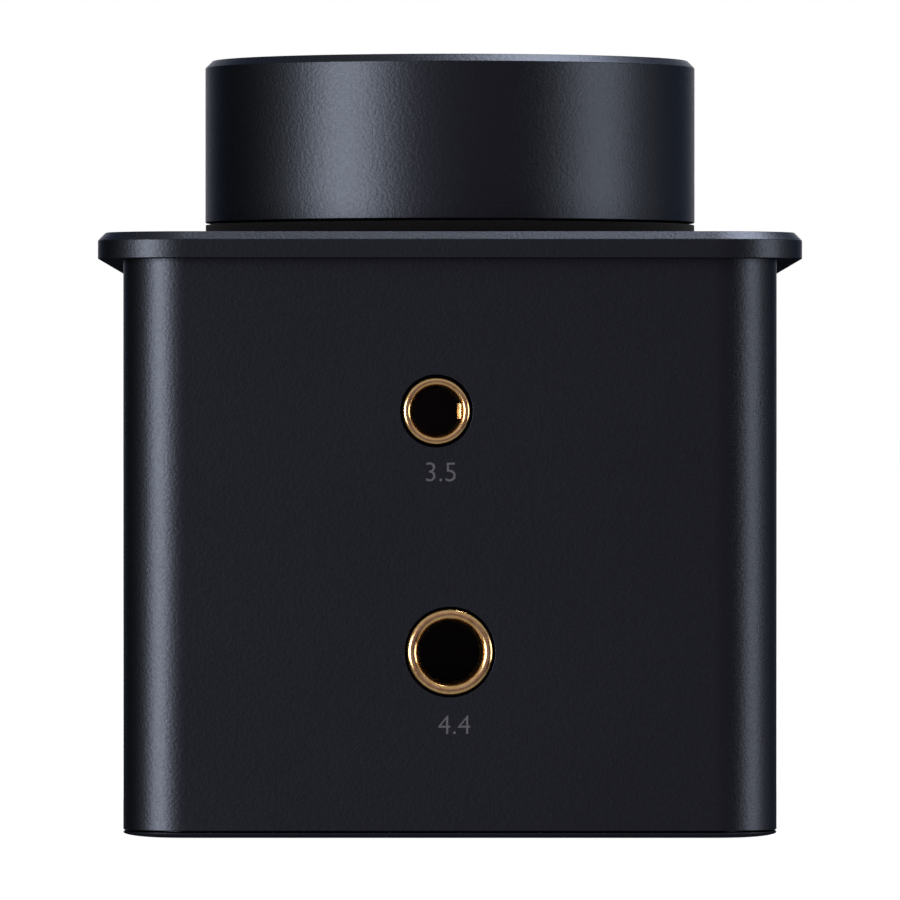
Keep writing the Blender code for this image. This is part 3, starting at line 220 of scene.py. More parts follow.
def turned(profile, steps=TURN_STEPS, ring=False):
    """Profile of (radius, height) turned about Z."""
    shape = bmesh.new()
    points = [shape.verts.new((radius, 0.0, height)) for radius, height in profile]
    pairs = list(zip(points, points[1:]))
    if ring:
        pairs.append((points[-1], points[0]))
    edges = [shape.edges.new(pair) for pair in pairs]
    bmesh.ops.spin(
        shape, geom=points + edges, cent=(0.0, 0.0, 0.0), axis=(0.0, 0.0, 1.0),
        angle=2 * math.pi, steps=steps, use_merge=True,
    )
    return closed_mesh(shape)


def closed_mesh(shape):
    """Mesh of a bmesh, welded and with its faces pointing out."""
    bmesh.ops.remove_doubles(shape, verts=shape.verts, dist=WELD)
    bmesh.ops.recalc_face_normals(shape, faces=shape.faces)
    mesh = bpy.data.meshes.new("shape")
    shape.to_mesh(mesh)
    shape.free()
    return mesh


def cylinder(radius, low, high, steps=SMALL_TURN_STEPS):
    """Solid cylinder along Z."""
    return turned([(0.0, high), (radius, high), (radius, low), (0.0, low)], steps)


def rounded_rectangle(width, length, radius, steps=CORNER_STEPS):
    """Outline with round corners, anticlockwise."""
    points = []
    x = width / 2 - radius
    y = length / 2 - radius
    corners = ((0, (x, y)), (90, (-x, y)), (180, (-x, -y)), (270, (x, -y)))
    for start, centre in corners:
        for step in range(steps + 1):
            angle = math.radians(start + 90 * step / steps)
            point = Vector(centre) + radius * Vector((math.cos(angle), math.sin(angle)))
            if not points or (point - points[-1]).length > SAME_POINT:
                points.append(point)
    if (points[0] - points[-1]).length < SAME_POINT:
        points.pop()
    return points


def rectangle(width, length):
    """Plain outline, anticlockwise."""
    x = width / 2
    y = length / 2
    return [(x, -y), (x, y), (-x, y), (-x, -y)]


def notched_rectangle(width, length, notch):
    """Rectangle with a square taken out of each corner, anticlockwise."""
    x = width / 2
    y = length / 2
    x_in = x - notch
    y_in = y - notch
    return [
        (x_in, -y), (x_in, -y_in), (x, -y_in), (x, y_in), (x_in, y_in), (x_in, y),
        (-x_in, y), (-x_in, y_in), (-x, y_in), (-x, -y_in), (-x_in, -y_in), (-x_in, -y),
    ]


def pill(width, length):
    """Outline with two fully round ends."""
    return rounded_rectangle(width, length, min(width, length) / 2, PILL_STEPS)


def block(width, length, height, centre):
    """Box about a centre."""
    shape = bmesh.new()
    bmesh.ops.create_cube(shape, size=1.0)
    bmesh.ops.scale(shape, vec=(width, length, height), verts=shape.verts)
    bmesh.ops.translate(shape, vec=centre, verts=shape.verts)
    return closed_mesh(shape)


def place_mesh(mesh, location, rotation=UPRIGHT):
    """Mesh moved from its own axes to its place in the frame."""
    turn = Matrix.Rotation(rotation[0], 4, "X") @ Matrix.Rotation(rotation[1], 4, "Y")
    mesh.transform(Matrix.Translation(location) @ turn)
    return mesh


def boolean(mesh, tools, operation="DIFFERENCE"):
    """Mesh after the tools are cut out of it, or joined to it."""
    holder = bpy.data.objects.new("holder", mesh)
    bpy.context.scene.collection.objects.link(holder)
    helpers = []
    for tool in tools:
        helper = bpy.data.objects.new("helper", tool)
        bpy.context.scene.collection.objects.link(helper)
        helpers.append(helper)
        modifier = holder.modifiers.new("Boolean", "BOOLEAN")
        modifier.operation = operation
        modifier.solver = "EXACT"
        modifier.object = helper
    bpy.context.view_layer.update()
    graph = bpy.context.evaluated_depsgraph_get()
    result = bpy.data.meshes.new_from_object(holder.evaluated_get(graph))
    for item in [holder, *helpers]:
        bpy.data.objects.remove(item, do_unlink=True)
    return result


def piece(name, mesh, material, body, replaced=(), edge=0.0, edge_steps=3):
    """Visible piece that rides on a body and stands for CAD nodes."""
    mesh.name = name
    mesh.materials.clear()
    mesh.materials.append(material)
    mesh.shade_smooth()
    made = bpy.data.objects.new(name, mesh)
    bpy.context.scene.collection.objects.link(made)
    if edge > 0.0:
        bevel = made.modifiers.new("Edges", "BEVEL")
        bevel.width = edge
        bevel.segments = edge_steps
        bevel.limit_method = "ANGLE"
        bevel.angle_limit = SMOOTH_ANGLE
        bevel.harden_normals = True
    else:
        mesh.set_sharp_from_angle(angle=SMOOTH_ANGLE)
    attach(made, body)
    if replaced:
        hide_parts(*replaced)
    return made


# ---------------------------------------------------------------- places

case_low, case_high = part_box("case")
plate_low, plate_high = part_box("top_plate")
cover_low, cover_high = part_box("bottom_cover")
knob_low, knob_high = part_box("knob_shell")
hub_low, hub_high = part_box("knob_hub")
glass_low, glass_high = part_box("display_glass")
phones_low, phones_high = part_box("phones_jack_ring")
balanced_low, balanced_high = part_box("balanced_jack_ring")

body_size = case_high - case_low
plate_size = plate_high - plate_low
inner_width = body_size.x - 2 * WALL
inner_length = body_size.y - 2 * WALL
front = case_low.y
rear = case_high.y
knob_axis = (knob_low + knob_high) / 2
knob_radius = (knob_high.x - knob_low.x) / 2
bolt_x = inner_width / 2 - POST / 2
bolt_y = inner_length / 2 - POST / 2
BOLT_PLACES = [(x, y) for x in (-bolt_x, bolt_x) for y in (-bolt_y, bolt_y)]
BUTTONS = ("power", "back", "play", "next")


def centre_of(node):
    """Middle of a node's box."""
    low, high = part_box(node)
    return (low + high) / 2


def size_of(node):
    """Size of a node's box."""
    low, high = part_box(node)
    return high - low


# ---------------------------------------------------------------- materials


# Share of a noise's range over which a tint runs from dark to light
TINT_START = 0.3
TINT_END = 0.7

# Reliefs, the number of turning marks, and how strong these are beside the grain
GRAIN_HEIGHT = 0.018 * MM
METAL_MARK_HEIGHT = 0.002 * MM
MOULDED_HEIGHT = 0.006 * MM
SOFT_HEIGHT = 0.02 * MM
TURNING_SCALE = 1250.0
TURNING_SHARE = 0.14

# Sockets of a colour mix node, which share their names with its other kinds
MIX_FACTOR = 0
MIX_FIRST = 6
MIX_SECOND = 7
MIX_RESULT = 2


def new_shader(name, colour, roughness, metallic):
    """Principled material; returns the material, its nodes, its links and its shader."""
    material = bpy.data.materials.new(name)
    material.use_nodes = True
    nodes = material.node_tree.nodes
    shader = nodes["Principled BSDF"]
    shader.inputs["Base Color"].default_value = (*colour, 1.0)
    shader.inputs["Roughness"].default_value = roughness
    shader.inputs["Metallic"].default_value = metallic
    return material, nodes, material.node_tree.links, shader


def noise(nodes, links, scale, detail=2.0, stretch=(1.0, 1.0, 1.0)):
    """Noise in the object's own metres; scale is in features per metre."""
    place = nodes.new("ShaderNodeTexCoord")
    mapping = nodes.new("ShaderNodeMapping")
    mapping.inputs["Scale"].default_value = stretch
    texture = nodes.new("ShaderNodeTexNoise")
    texture.inputs["Scale"].default_value = scale
    texture.inputs["Detail"].default_value = detail
    links.new(place.outputs["Object"], mapping.inputs["Vector"])
    links.new(mapping.outputs["Vector"], texture.inputs["Vector"])
    return texture.outputs["Fac"]


def spread(nodes, links, value, low, high, start=0.0, end=1.0, interpolation="LINEAR"):
    """Value from start to end spread between low and high, and held there beyond them."""
    spreader = nodes.new("ShaderNodeMapRange")
    spreader.interpolation_type = interpolation
    spreader.inputs["From Min"].default_value = start
    spreader.inputs["From Max"].default_value = end
    spreader.inputs["To Min"].default_value = low
    spreader.inputs["To Max"].default_value = high
    links.new(value, spreader.inputs["Value"])
    return spreader.outputs["Result"]


def uneven(nodes, links, shader, value, roughness, swing):
    """Roughness that swings to either side of its middle."""
    links.new(
        spread(nodes, links, value, roughness - swing, roughness + swing),
        shader.inputs["Roughness"],
    )


def tint(nodes, links, value, dark, light):
    """Colour between dark and light."""
    ramp = nodes.new("ShaderNodeValToRGB")
    stops = ((TINT_START, dark), (TINT_END, light))
    for element, (position, colour) in zip(ramp.color_ramp.elements, stops):
        element.position = position
        element.color = (*colour, 1.0)
    links.new(value, ramp.inputs["Fac"])
    return ramp.outputs["Color"]


def bump(nodes, links, shader, value, height):
    """Surface relief of that height in metres."""
    relief = nodes.new("ShaderNodeBump")
    relief.inputs["Distance"].default_value = height
    relief.inputs["Strength"].default_value = 1.0
    links.new(value, relief.inputs["Height"])
    links.new(relief.outputs["Normal"], shader.inputs["Normal"])


def anodised(name, roughness=0.4, turning_axis=None):
    """Bead-blasted aluminium under a blue-black anodised layer, turned about an axis or not."""
    material, nodes, links, shader = new_shader(name, (0.036, 0.0395, 0.049), roughness, 1.0)
    shader.inputs["Specular Tint"].default_value = (0.36, 0.37, 0.4, 1.0)
    grain = noise(nodes, links, scale=4600.0, detail=3.0)
    cloud = noise(nodes, links, scale=60.0)
    dark = (0.0345, 0.038, 0.047)
    light = (0.0375, 0.041, 0.051)
    links.new(tint(nodes, links, cloud, dark, light), shader.inputs["Base Color"])
    uneven(nodes, links, shader, grain, roughness, swing=0.05)
    if turning_axis is None:
        bump(nodes, links, shader, grain, GRAIN_HEIGHT)
        return material
    place = nodes.new("ShaderNodeTexCoord")
    centred = nodes.new("ShaderNodeMapping")
    centred.inputs["Location"].default_value = (-turning_axis.x, -turning_axis.y, 0.0)
    rings = nodes.new("ShaderNodeTexWave")
    rings.wave_type = "RINGS"
    rings.rings_direction = "Z"
    rings.inputs["Scale"].default_value = TURNING_SCALE
    links.new(place.outputs["Object"], centred.inputs["Vector"])
    links.new(centred.outputs["Vector"], rings.inputs["Vector"])
    both = nodes.new("ShaderNodeMath")
    both.operation = "MULTIPLY_ADD"
    both.inputs[1].default_value = TURNING_SHARE
    links.new(rings.outputs["Fac"], both.inputs[0])
    links.new(grain, both.inputs[2])
    bump(nodes, links, shader, both.outputs["Value"], GRAIN_HEIGHT)
    return material


def gilt():
    """Gold plating over turned brass, with faint turning marks."""
    roughness = 0.22
    material, nodes, links, shader = new_shader("gilt", (0.8, 0.52, 0.24), roughness, 1.0)
    marks = noise(nodes, links, scale=2500.0)
    uneven(nodes, links, shader, marks, roughness, swing=0.08)
    warm = tint(nodes, links, marks, (0.72, 0.44, 0.18), (0.86, 0.58, 0.28))
    links.new(warm, shader.inputs["Base Color"])
    bump(nodes, links, shader, marks, METAL_MARK_HEIGHT)
    return material


def moulded(name, colour, roughness, grain_scale=2500.0, height=MOULDED_HEIGHT, gloss=0.5):
    """Moulded plastic, rubber or felt with a fine grain; gloss is its specular level."""
    material, nodes, links, shader = new_shader(name, colour, roughness, 0.0)
    shader.inputs["Specular IOR Level"].default_value = gloss
    grain = noise(nodes, links, grain_scale, detail=3.0)
    darker = tuple(0.85 * part for part in colour)
    lighter = tuple(1.15 * part for part in colour)
    links.new(tint(nodes, links, grain, darker, lighter), shader.inputs["Base Color"])
    uneven(nodes, links, shader, grain, roughness, swing=0.06)
    bump(nodes, links, shader, grain, height)
    return material


def plain_metal(name, colour, roughness):
    """Bare metal with fine drawn marks along Z."""
    material, nodes, links, shader = new_shader(name, colour, roughness, 1.0)
    marks = noise(nodes, links, scale=3000.0, stretch=(1.0, 1.0, 0.08))
    darker = tuple(0.9 * part for part in colour)
    links.new(tint(nodes, links, marks, darker, colour), shader.inputs["Base Color"])
    uneven(nodes, links, shader, marks, roughness, swing=0.07)
    bump(nodes, links, shader, marks, METAL_MARK_HEIGHT)
    return material


def cover_glass():
    """Dark hardened glass, black where it is printed behind, a shade lighter over the display."""
    material, nodes, links, shader = new_shader("cover_glass", (0.004, 0.004, 0.005), 0.04, 0.0)
    haze = noise(nodes, links, scale=90.0, detail=3.0)
    links.new(spread(nodes, links, haze, 0.02, 0.07), shader.inputs["Roughness"])
    border = tint(nodes, links, haze, (0.0025, 0.0025, 0.003), (0.0035, 0.0035, 0.0045))
    active = tint(nodes, links, haze, (0.011, 0.012, 0.015), (0.013, 0.014, 0.018))
    mix = nodes.new("ShaderNodeMix")
    mix.data_type = "RGBA"
    links.new(inside_box(nodes, links, "display_panel"), mix.inputs[MIX_FACTOR])
    links.new(border, mix.inputs[MIX_FIRST])
    links.new(active, mix.inputs[MIX_SECOND])
    links.new(mix.outputs[MIX_RESULT], shader.inputs["Base Color"])
    shader.inputs["IOR"].default_value = 1.51
    return material


def inside_box(nodes, links, node):
    """1 over a node's box in plan, 0 elsewhere."""
    centre = centre_of(node)
    size = size_of(node)
    place = nodes.new("ShaderNodeTexCoord")
    split = nodes.new("ShaderNodeSeparateXYZ")
    links.new(place.outputs["Object"], split.inputs["Vector"])
    within = []
    for axis, middle, half in (("X", centre.x, size.x / 2), ("Y", centre.y, size.y / 2)):
        compare = nodes.new("ShaderNodeMath")
        compare.operation = "COMPARE"
        compare.inputs[1].default_value = middle
        compare.inputs[2].default_value = half
        links.new(split.outputs[axis], compare.inputs[0])
        within.append(compare.outputs["Value"])
    both = nodes.new("ShaderNodeMath")
    both.operation = "MULTIPLY"
    links.new(within[0], both.inputs[0])
    links.new(within[1], both.inputs[1])
    return both.outputs["Value"]


def print_ink():
    """Pale grey screen print."""
    material, nodes, links, shader = new_shader("print_ink", (0.05, 0.05, 0.056), 0.6, 0.0)
    speckle = noise(nodes, links, scale=9000.0)
    ink = tint(nodes, links, speckle, (0.038, 0.038, 0.043), (0.062, 0.062, 0.07))
    links.new(ink, shader.inputs["Base Color"])
    return material


ANODISED = anodised("anodised_aluminium")
ANODISED_KNOB = anodised("anodised_knob", turning_axis=knob_axis)
GILT = gilt()
BRASS = plain_metal("brass", (0.7, 0.53, 0.25), 0.35)
STEEL = plain_metal("steel", (0.42, 0.42, 0.44), 0.35)
BLACK_STEEL = plain_metal("black_steel", (0.08, 0.08, 0.085), 0.35)
CAN = plain_metal("capacitor_can", (0.6, 0.6, 0.62), 0.3)
PLASTIC = moulded("black_plastic", (0.011, 0.011, 0.012), 0.5)
JACK_PLASTIC = moulded("jack_plastic", (0.014, 0.009, 0.007), 0.42)
FELT = moulded("black_felt", (0.006, 0.006, 0.007), 0.93, 6000.0, SOFT_HEIGHT, gloss=0.12)
RUBBER = moulded("black_rubber", (0.014, 0.014, 0.014), 0.78, 1500.0, SOFT_HEIGHT)
BOARD = moulded("circuit_board", (0.008, 0.05, 0.028), 0.45)
CHIP = moulded("chip_resin", (0.02, 0.02, 0.021), 0.6)
BATTERY = moulded("battery_film", (0.33, 0.35, 0.38), 0.4)
GLASS = cover_glass()
INK = print_ink()


# ---------------------------------------------------------------- pieces


def make_case():
    """Milled block with fine corners, its rooms, posts and wall openings."""
    outline = rounded_rectangle(body_size.x, body_size.y, BODY_RADIUS)
    mesh = slab(outline, case_low.z, plate_low.z)
    room = notched_rectangle(inner_width, inner_length, POST)
    seat = rounded_rectangle(inner_width, inner_length, BODY_RADIUS - WALL)
    opening = rectangle(inner_width - 2 * RIB_DEPTH, inner_length - 2 * POST)
    tools = [
        slab(room, RIB_TOP, case_high.z + MARGIN),
        slab(room, case_low.z - MARGIN, RIB_BOTTOM),
        slab(opening, RIB_BOTTOM - MARGIN, RIB_TOP + MARGIN),
        slab(seat, case_low.z - MARGIN, cover_high.z + CLEARANCE),
    ]
    for low, high, radius in (
        (phones_low, phones_high, PHONES_HOLE), (balanced_low, balanced_high, BALANCED_HOLE),
    ):
        middle = (low + high) / 2
        drill = cylinder(radius, -WALL - MARGIN, MARGIN)
        tools.append(place_mesh(drill, (middle.x, front, middle.z), FACING_FRONT))
    for node in ("usb_shell", "card_tray", "antenna_window"):
        size = size_of(node)
        middle = centre_of(node)
        hole = slab(pill(size.x + 2 * SEAM, size.z + 2 * SEAM), -MARGIN, WALL + MARGIN)
        tools.append(place_mesh(hole, (middle.x, rear, middle.z), FACING_FRONT))
    for name in BUTTONS:
        middle = centre_of(name + "_switch")
        hole = slab(pill(BUTTON_HEIGHT + 2 * SEAM, BUTTON_LENGTH + 2 * SEAM), -WALL - MARGIN, MARGIN)
        tools.append(place_mesh(hole, (case_high.x, middle.y, middle.z), FACING_RIGHT))
    for x, y in BOLT_PLACES:
        drill = cylinder(BOLT_RADIUS + CLEARANCE, 0.0, case_high.z + MARGIN, DRILL_STEPS)
        tools.append(place_mesh(drill, (x, y, 0.0)))
    piece("milled_case", boolean(mesh, tools), ANODISED, "housing", ["case"], CASE_EDGE)


def make_top_plate():
    """Overhanging lid with a chamfered rim, the knob's hole and the glass pocket."""
    radius = BODY_RADIUS + (plate_size.x - body_size.x) / 2
    outline = rounded_rectangle(plate_size.x, plate_size.y, radius)
    mesh = slab(outline, plate_low.z, plate_high.z)
    chamfer_rim(mesh, plate_high.z, PLATE_CHAMFER)
    glass = centre_of("display_glass")
    size = size_of("display_glass")
    pocket = rounded_rectangle(size.x + 2 * SEAM, size.y + 2 * SEAM, GLASS_RADIUS + SEAM)
    gasket_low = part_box("display_gasket")[0]
    floor = gasket_low.z - SEAM
    panel = size_of("display_panel")
    window = rectangle(panel.x + 2 * CLEARANCE, panel.y + 2 * CLEARANCE)
    bushing = size_of("encoder_bushing").x / 2
    tools = [
        place_mesh(slab(pocket, floor, plate_high.z + MARGIN), (glass.x, glass.y, 0.0)),
        place_mesh(slab(window, plate_low.z - MARGIN, floor + OVERLAP), (glass.x, glass.y, 0.0)),
        place_mesh(
            cylinder(bushing + CLEARANCE, plate_low.z - MARGIN, plate_high.z + MARGIN),
            (knob_axis.x, knob_axis.y, 0.0),
        ),
    ]
    tap_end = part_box("clamp_bolt_front_left")[1].z + SEAM
    for x, y in BOLT_PLACES:
        tap = cylinder(BOLT_RADIUS + SEAM, plate_low.z - MARGIN, tap_end, DRILL_STEPS)
        tools.append(place_mesh(tap, (x, y, 0.0)))
    piece(
        "overhanging_plate", boolean(mesh, tools), ANODISED, "housing",
        ["top_plate"], EDGE,
    )


def chamfer_rim(mesh, height, size):
    """Chamfer the edges that lie flat at one height."""
    shape = bmesh.new()
    shape.from_mesh(mesh)
    rim = [
        edge for edge in shape.edges
        if all(abs(vertex.co.z - height) < LEVEL for vertex in edge.verts)
    ]
    bmesh.ops.bevel(shape, geom=rim, offset=size, segments=1, affect="EDGES")
    shape.to_mesh(mesh)
    shape.free()


def make_knob():
    """Turned knob with a chamfer round its top, and the ring it glides on."""
    low = knob_low.z
    high = knob_high.z
    ceiling = high - KNOB_TOP_WALL
    inner = knob_radius - KNOB_WALL
    socket_inner = (hub_high.x - hub_low.x) / 2 + CLEARANCE
    socket_outer = socket_inner + HUB_SOCKET_WALL
    profile = [
        (0.0, high),
        (knob_radius - KNOB_CHAMFER, high),
        (knob_radius, high - KNOB_CHAMFER),
        (knob_radius, low + KNOB_FOOT_CHAMFER),
        (knob_radius - KNOB_FOOT_CHAMFER, low),
        (inner, low),
        (inner, ceiling),
        (socket_outer, ceiling),
        (socket_outer, hub_low.z),
        (socket_inner, hub_low.z),
        (socket_inner, ceiling),
        (0.0, ceiling),
    ]
    mesh = place_mesh(turned(profile), (knob_axis.x, knob_axis.y, 0.0))
    piece("turned_knob", mesh, ANODISED_KNOB, "knob", ["knob_shell"], EDGE)
    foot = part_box("knob_base_ring")[0].z
    top = knob_low.z - RING_GAP
    outer = knob_radius - RING_INSET
    inner = outer - RING_WIDTH
    profile = [(outer, top), (outer, foot), (inner, foot), (inner, top)]
    mesh = place_mesh(turned(profile, ring=True), (knob_axis.x, knob_axis.y, 0.0))
    piece("glide_ring", mesh, FELT, "housing", ["knob_base_ring"], EDGE)


def jack_ring(name, node, bore):
    """Gilded sleeve whose mouth is one full round bead."""
    low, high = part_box(node)
    outer = (high.x - low.x) / 2
    length = high.y - low.y
    bead = (outer - bore) / 2
    profile = [(outer, -length), (bore, -length)]
    for step in range(BEAD_STEPS + 1):
        angle = math.pi * step / BEAD_STEPS
        profile.append((bore + bead - bead * math.cos(angle), bead * (math.sin(angle) - 1)))
    mesh = turned(profile, SMALL_TURN_STEPS, ring=True)
    middle = (low + high) / 2
    place_mesh(mesh, (middle.x, low.y, middle.z), FACING_FRONT)
    piece(name, mesh, GILT, "housing", [node])


def spring_crown(name, node, bore, fingers, start):
    """Ring of sprung fingers inside the sleeve, bowed inwards to grip the plug."""
    low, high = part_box(node)
    outer = bore - CROWN_GAP
    inside = []
    outside = []
    for step in range(CROWN_STEPS + 1):
        share = step / CROWN_STEPS
        bow = CROWN_BOW * math.sin(math.pi * share) ** 2
        height = -start - CROWN_LENGTH * share
        sheet = CROWN_SHEET * min(1.0, CROWN_TIP + CROWN_TAPER * share)
        outside.append((outer - bow, height))
        inside.append((outer - bow - sheet, height))
    crown = turned(outside + inside[::-1], SMALL_TURN_STEPS, ring=True)
    slots = []
    for index in range(fingers):
        cutter = block(2 * bore, CROWN_SLOT, CROWN_LENGTH, (bore, 0.0, 0.0))
        cutter.transform(Matrix.Rotation(2 * math.pi * (index + 0.5) / fingers, 4, "Z"))
        cutter.transform(Matrix.Translation((0.0, 0.0, -start - CROWN_SLOT_DEPTH)))
        slots.append(cutter)
    middle = (low + high) / 2
    mesh = place_mesh(boolean(crown, slots), (middle.x, low.y, middle.z), FACING_FRONT)
    piece(name, mesh, GILT, "housing")


def contact_leaf():
    """Tip of the spring contact that shows inside the mouth of the 3.5 mm jack."""
    wall = PHONES_BORE - LEAF_GAP
    outline = [(wall, -LEAF_FRONT), (wall, -LEAF_REAR)]
    outline += [(radius, -depth) for radius, depth in LEAF_NOSE]
    mesh = slab(outline, -LEAF_HEIGHT / 2, LEAF_HEIGHT / 2)
    mesh.transform(Matrix.Rotation(math.radians(90), 4, "X"))
    middle = (phones_low + phones_high) / 2
    place_mesh(mesh, (middle.x, phones_low.y, middle.z), FACING_FRONT)
    piece("phones_leaf", mesh, GILT, "housing", edge=THIN_EDGE, edge_steps=2)


def make_jacks():
    """Sleeves and spring crowns of both jacks."""
    jack_ring("phones_sleeve", "phones_jack_ring", PHONES_BORE)
    jack_ring("balanced_sleeve", "balanced_jack_ring", BALANCED_BORE)
    spring_crown("phones_crown", "phones_jack_ring", PHONES_BORE, fingers=8, start=0.55 * MM)
    spring_crown("balanced_crown", "balanced_jack_ring", BALANCED_BORE, fingers=10, start=0.75 * MM)
    contact_leaf()


def make_cover():
    """Bottom cover with its swept edge, plug, recesses and countersinks, and the two feet."""
    base = cover_low.z - COVER_DROP
    layers = [(0.0, cover_low.z + COVER_RIM)]
    for step in range(COVER_STEPS + 1):
        turn = math.radians(90 * step / COVER_STEPS)
        inset = COVER_SWEEP * (1 - math.cos(turn))
        rise = (COVER_RIM + COVER_DROP - COVER_LIP) * (1 - math.sin(turn))
        layers.append((inset, base + rise))
    outlines = []
    for inset, height in layers:
        outline = rounded_rectangle(
            body_size.x - 2 * inset, body_size.y - 2 * inset, BODY_RADIUS - inset,
        )
        outlines.append((outline, height))
    mesh = lofted(outlines)
    plug = rounded_rectangle(
        inner_width - 2 * CLEARANCE, inner_length - 2 * CLEARANCE, BODY_RADIUS - WALL - CLEARANCE,
    )
    mesh = boolean(mesh, [slab(plug, cover_low.z + COVER_RIM / 2, cover_high.z)], "UNION")
    tools = []
    for node in ("foot_pad_front", "foot_pad_rear"):
        pad = size_of(node)
        middle = centre_of(node)
        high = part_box(node)[1].z + SEAM
        recess = slab(pill(pad.x + 2 * SEAM, pad.y + 2 * SEAM), -MARGIN, high)
        tools.append(place_mesh(recess, (middle.x, middle.y, 0.0)))
    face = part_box("clamp_bolt_front_left")[0].z
    neck = face + BOLT_HEAD_RADIUS - BOLT_RADIUS
    sink = [
        (0.0, cover_high.z + MARGIN), (BOLT_RADIUS + SEAM, cover_high.z + MARGIN),
        (BOLT_RADIUS + SEAM, neck), (BOLT_HEAD_RADIUS + SEAM, face),
        (BOLT_HEAD_RADIUS + SEAM, -MARGIN), (0.0, -MARGIN),
    ]
    for x, y in BOLT_PLACES:
        tools.append(place_mesh(turned(sink, SINK_STEPS), (x, y, 0.0)))
    piece(
        "base_cover", boolean(mesh, tools), ANODISED, "housing",
        ["bottom_cover"], THIN_EDGE,
    )
    for node in ("foot_pad_front", "foot_pad_rear"):
        pad = size_of(node)
        middle = centre_of(node)
        low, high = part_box(node)
        mesh = place_mesh(slab(pill(pad.x, pad.y), low.z, high.z), (middle.x, middle.y, 0.0))
        name = node.replace("foot_pad", "rubber_foot")
        piece(name, mesh, RUBBER, "housing", [node], EDGE)


def make_bolts():
    """Countersunk bolts with hexagon sockets."""
    for node in (name for name in frame["nodes"] if name.startswith("clamp_bolt")):
        low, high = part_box(node)
        middle = (low + high) / 2
        neck = low.z + BOLT_HEAD_RADIUS - BOLT_RADIUS
        profile = [
            (0.0, high.z), (BOLT_RADIUS, high.z), (BOLT_RADIUS, neck),
            (BOLT_HEAD_RADIUS, low.z), (0.0, low.z),
        ]
        key = cylinder(BOLT_KEY_RADIUS, low.z - MARGIN, low.z + BOLT_KEY_DEPTH, HEXAGON)
        mesh = boolean(turned(profile, BOLT_STEPS), [key])
        place_mesh(mesh, (middle.x, middle.y, 0.0))
        name = node.replace("clamp", "socket")
        piece(name, mesh, BLACK_STEEL, "housing", [node], EDGE, 2)


def make_glass():
    """Display glass with a softly rounded edge."""
    size = size_of("display_glass")
    middle = centre_of("display_glass")
    mesh = slab(rounded_rectangle(size.x, size.y, GLASS_RADIUS), glass_low.z, glass_high.z)
    place_mesh(mesh, (middle.x, middle.y, 0.0))
    piece("touch_glass", mesh, GLASS, "housing", ["display_glass"], GLASS_EDGE, 4)


def make_buttons():
    """Pill-shaped caps with rounded faces, each with its retaining flange."""
    for name in BUTTONS:
        node = name + "_button"
        low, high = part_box(node)
        middle = (low + high) / 2
        cap = slab(pill(BUTTON_HEIGHT, BUTTON_LENGTH), low.x, high.x)
        flange = slab(pill(high.z - low.z, high.y - low.y), low.x, low.x + BUTTON_FLANGE_THICKNESS)
        cap = boolean(cap, [flange], "UNION")
        place_mesh(cap, (0.0, middle.y, middle.z), FACING_RIGHT)
        piece(name + "_key", cap, ANODISED, node, [node], BUTTON_EDGE, 4)


def joined(meshes):
    """One mesh of several that stand apart."""
    shape = bmesh.new()
    for mesh in meshes:
        shape.from_mesh(mesh)
    return closed_mesh(shape)


def arrow(across, turn):
    """Triangle that points to the rear when turn is 1, and to the front when it is -1."""
    back = across - turn * ARROW_REACH
    return [(back, -ARROW_RISE), (across + turn * ARROW_REACH, 0.0), (back, ARROW_RISE)]


def bar(across, low, high):
    """Upright line from low to high."""
    return [
        (across - ICON_LINE / 2, low), (across + ICON_LINE / 2, low),
        (across + ICON_LINE / 2, high), (across - ICON_LINE / 2, high),
    ]


def open_ring(radius):
    """Ring with a gap at its top."""
    start = 90 + POWER_GAP / 2
    span = 360 - POWER_GAP
    angles = [
        math.radians(start + span * step / POWER_RING_STEPS) for step in range(POWER_RING_STEPS + 1)
    ]
    outside = [(radius * math.cos(turn), radius * math.sin(turn)) for turn in angles]
    inner = radius - ICON_LINE
    inside = [(inner * math.cos(turn), inner * math.sin(turn)) for turn in reversed(angles)]
    return outside + inside


def make_icons():
    """Generic symbols printed on the button caps."""
    pause = [bar(across, -ARROW_RISE, ARROW_RISE) for across in PAUSE_BARS]
    icons = {
        "power": [open_ring(POWER_RADIUS), bar(0.0, *POWER_BAR)],
        "back": [arrow(-ARROW_REACH, -1), arrow(ARROW_REACH, -1)],
        "play": [arrow(-ARROW_REACH, 1), *pause],
        "next": [arrow(-ARROW_REACH, 1), arrow(ARROW_REACH, 1)],
    }
    for name, outlines in icons.items():
        node = name + "_button"
        middle = centre_of(node)
        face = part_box(node)[1].x
        marks = [
            slab([(-up, across) for across, up in outline], -ICON_SUNK, ICON_PROUD)
            for outline in outlines
        ]
        mesh = place_mesh(joined(marks), (face, middle.y, middle.z), FACING_RIGHT)
        piece(name + "_icon", mesh, INK, node)


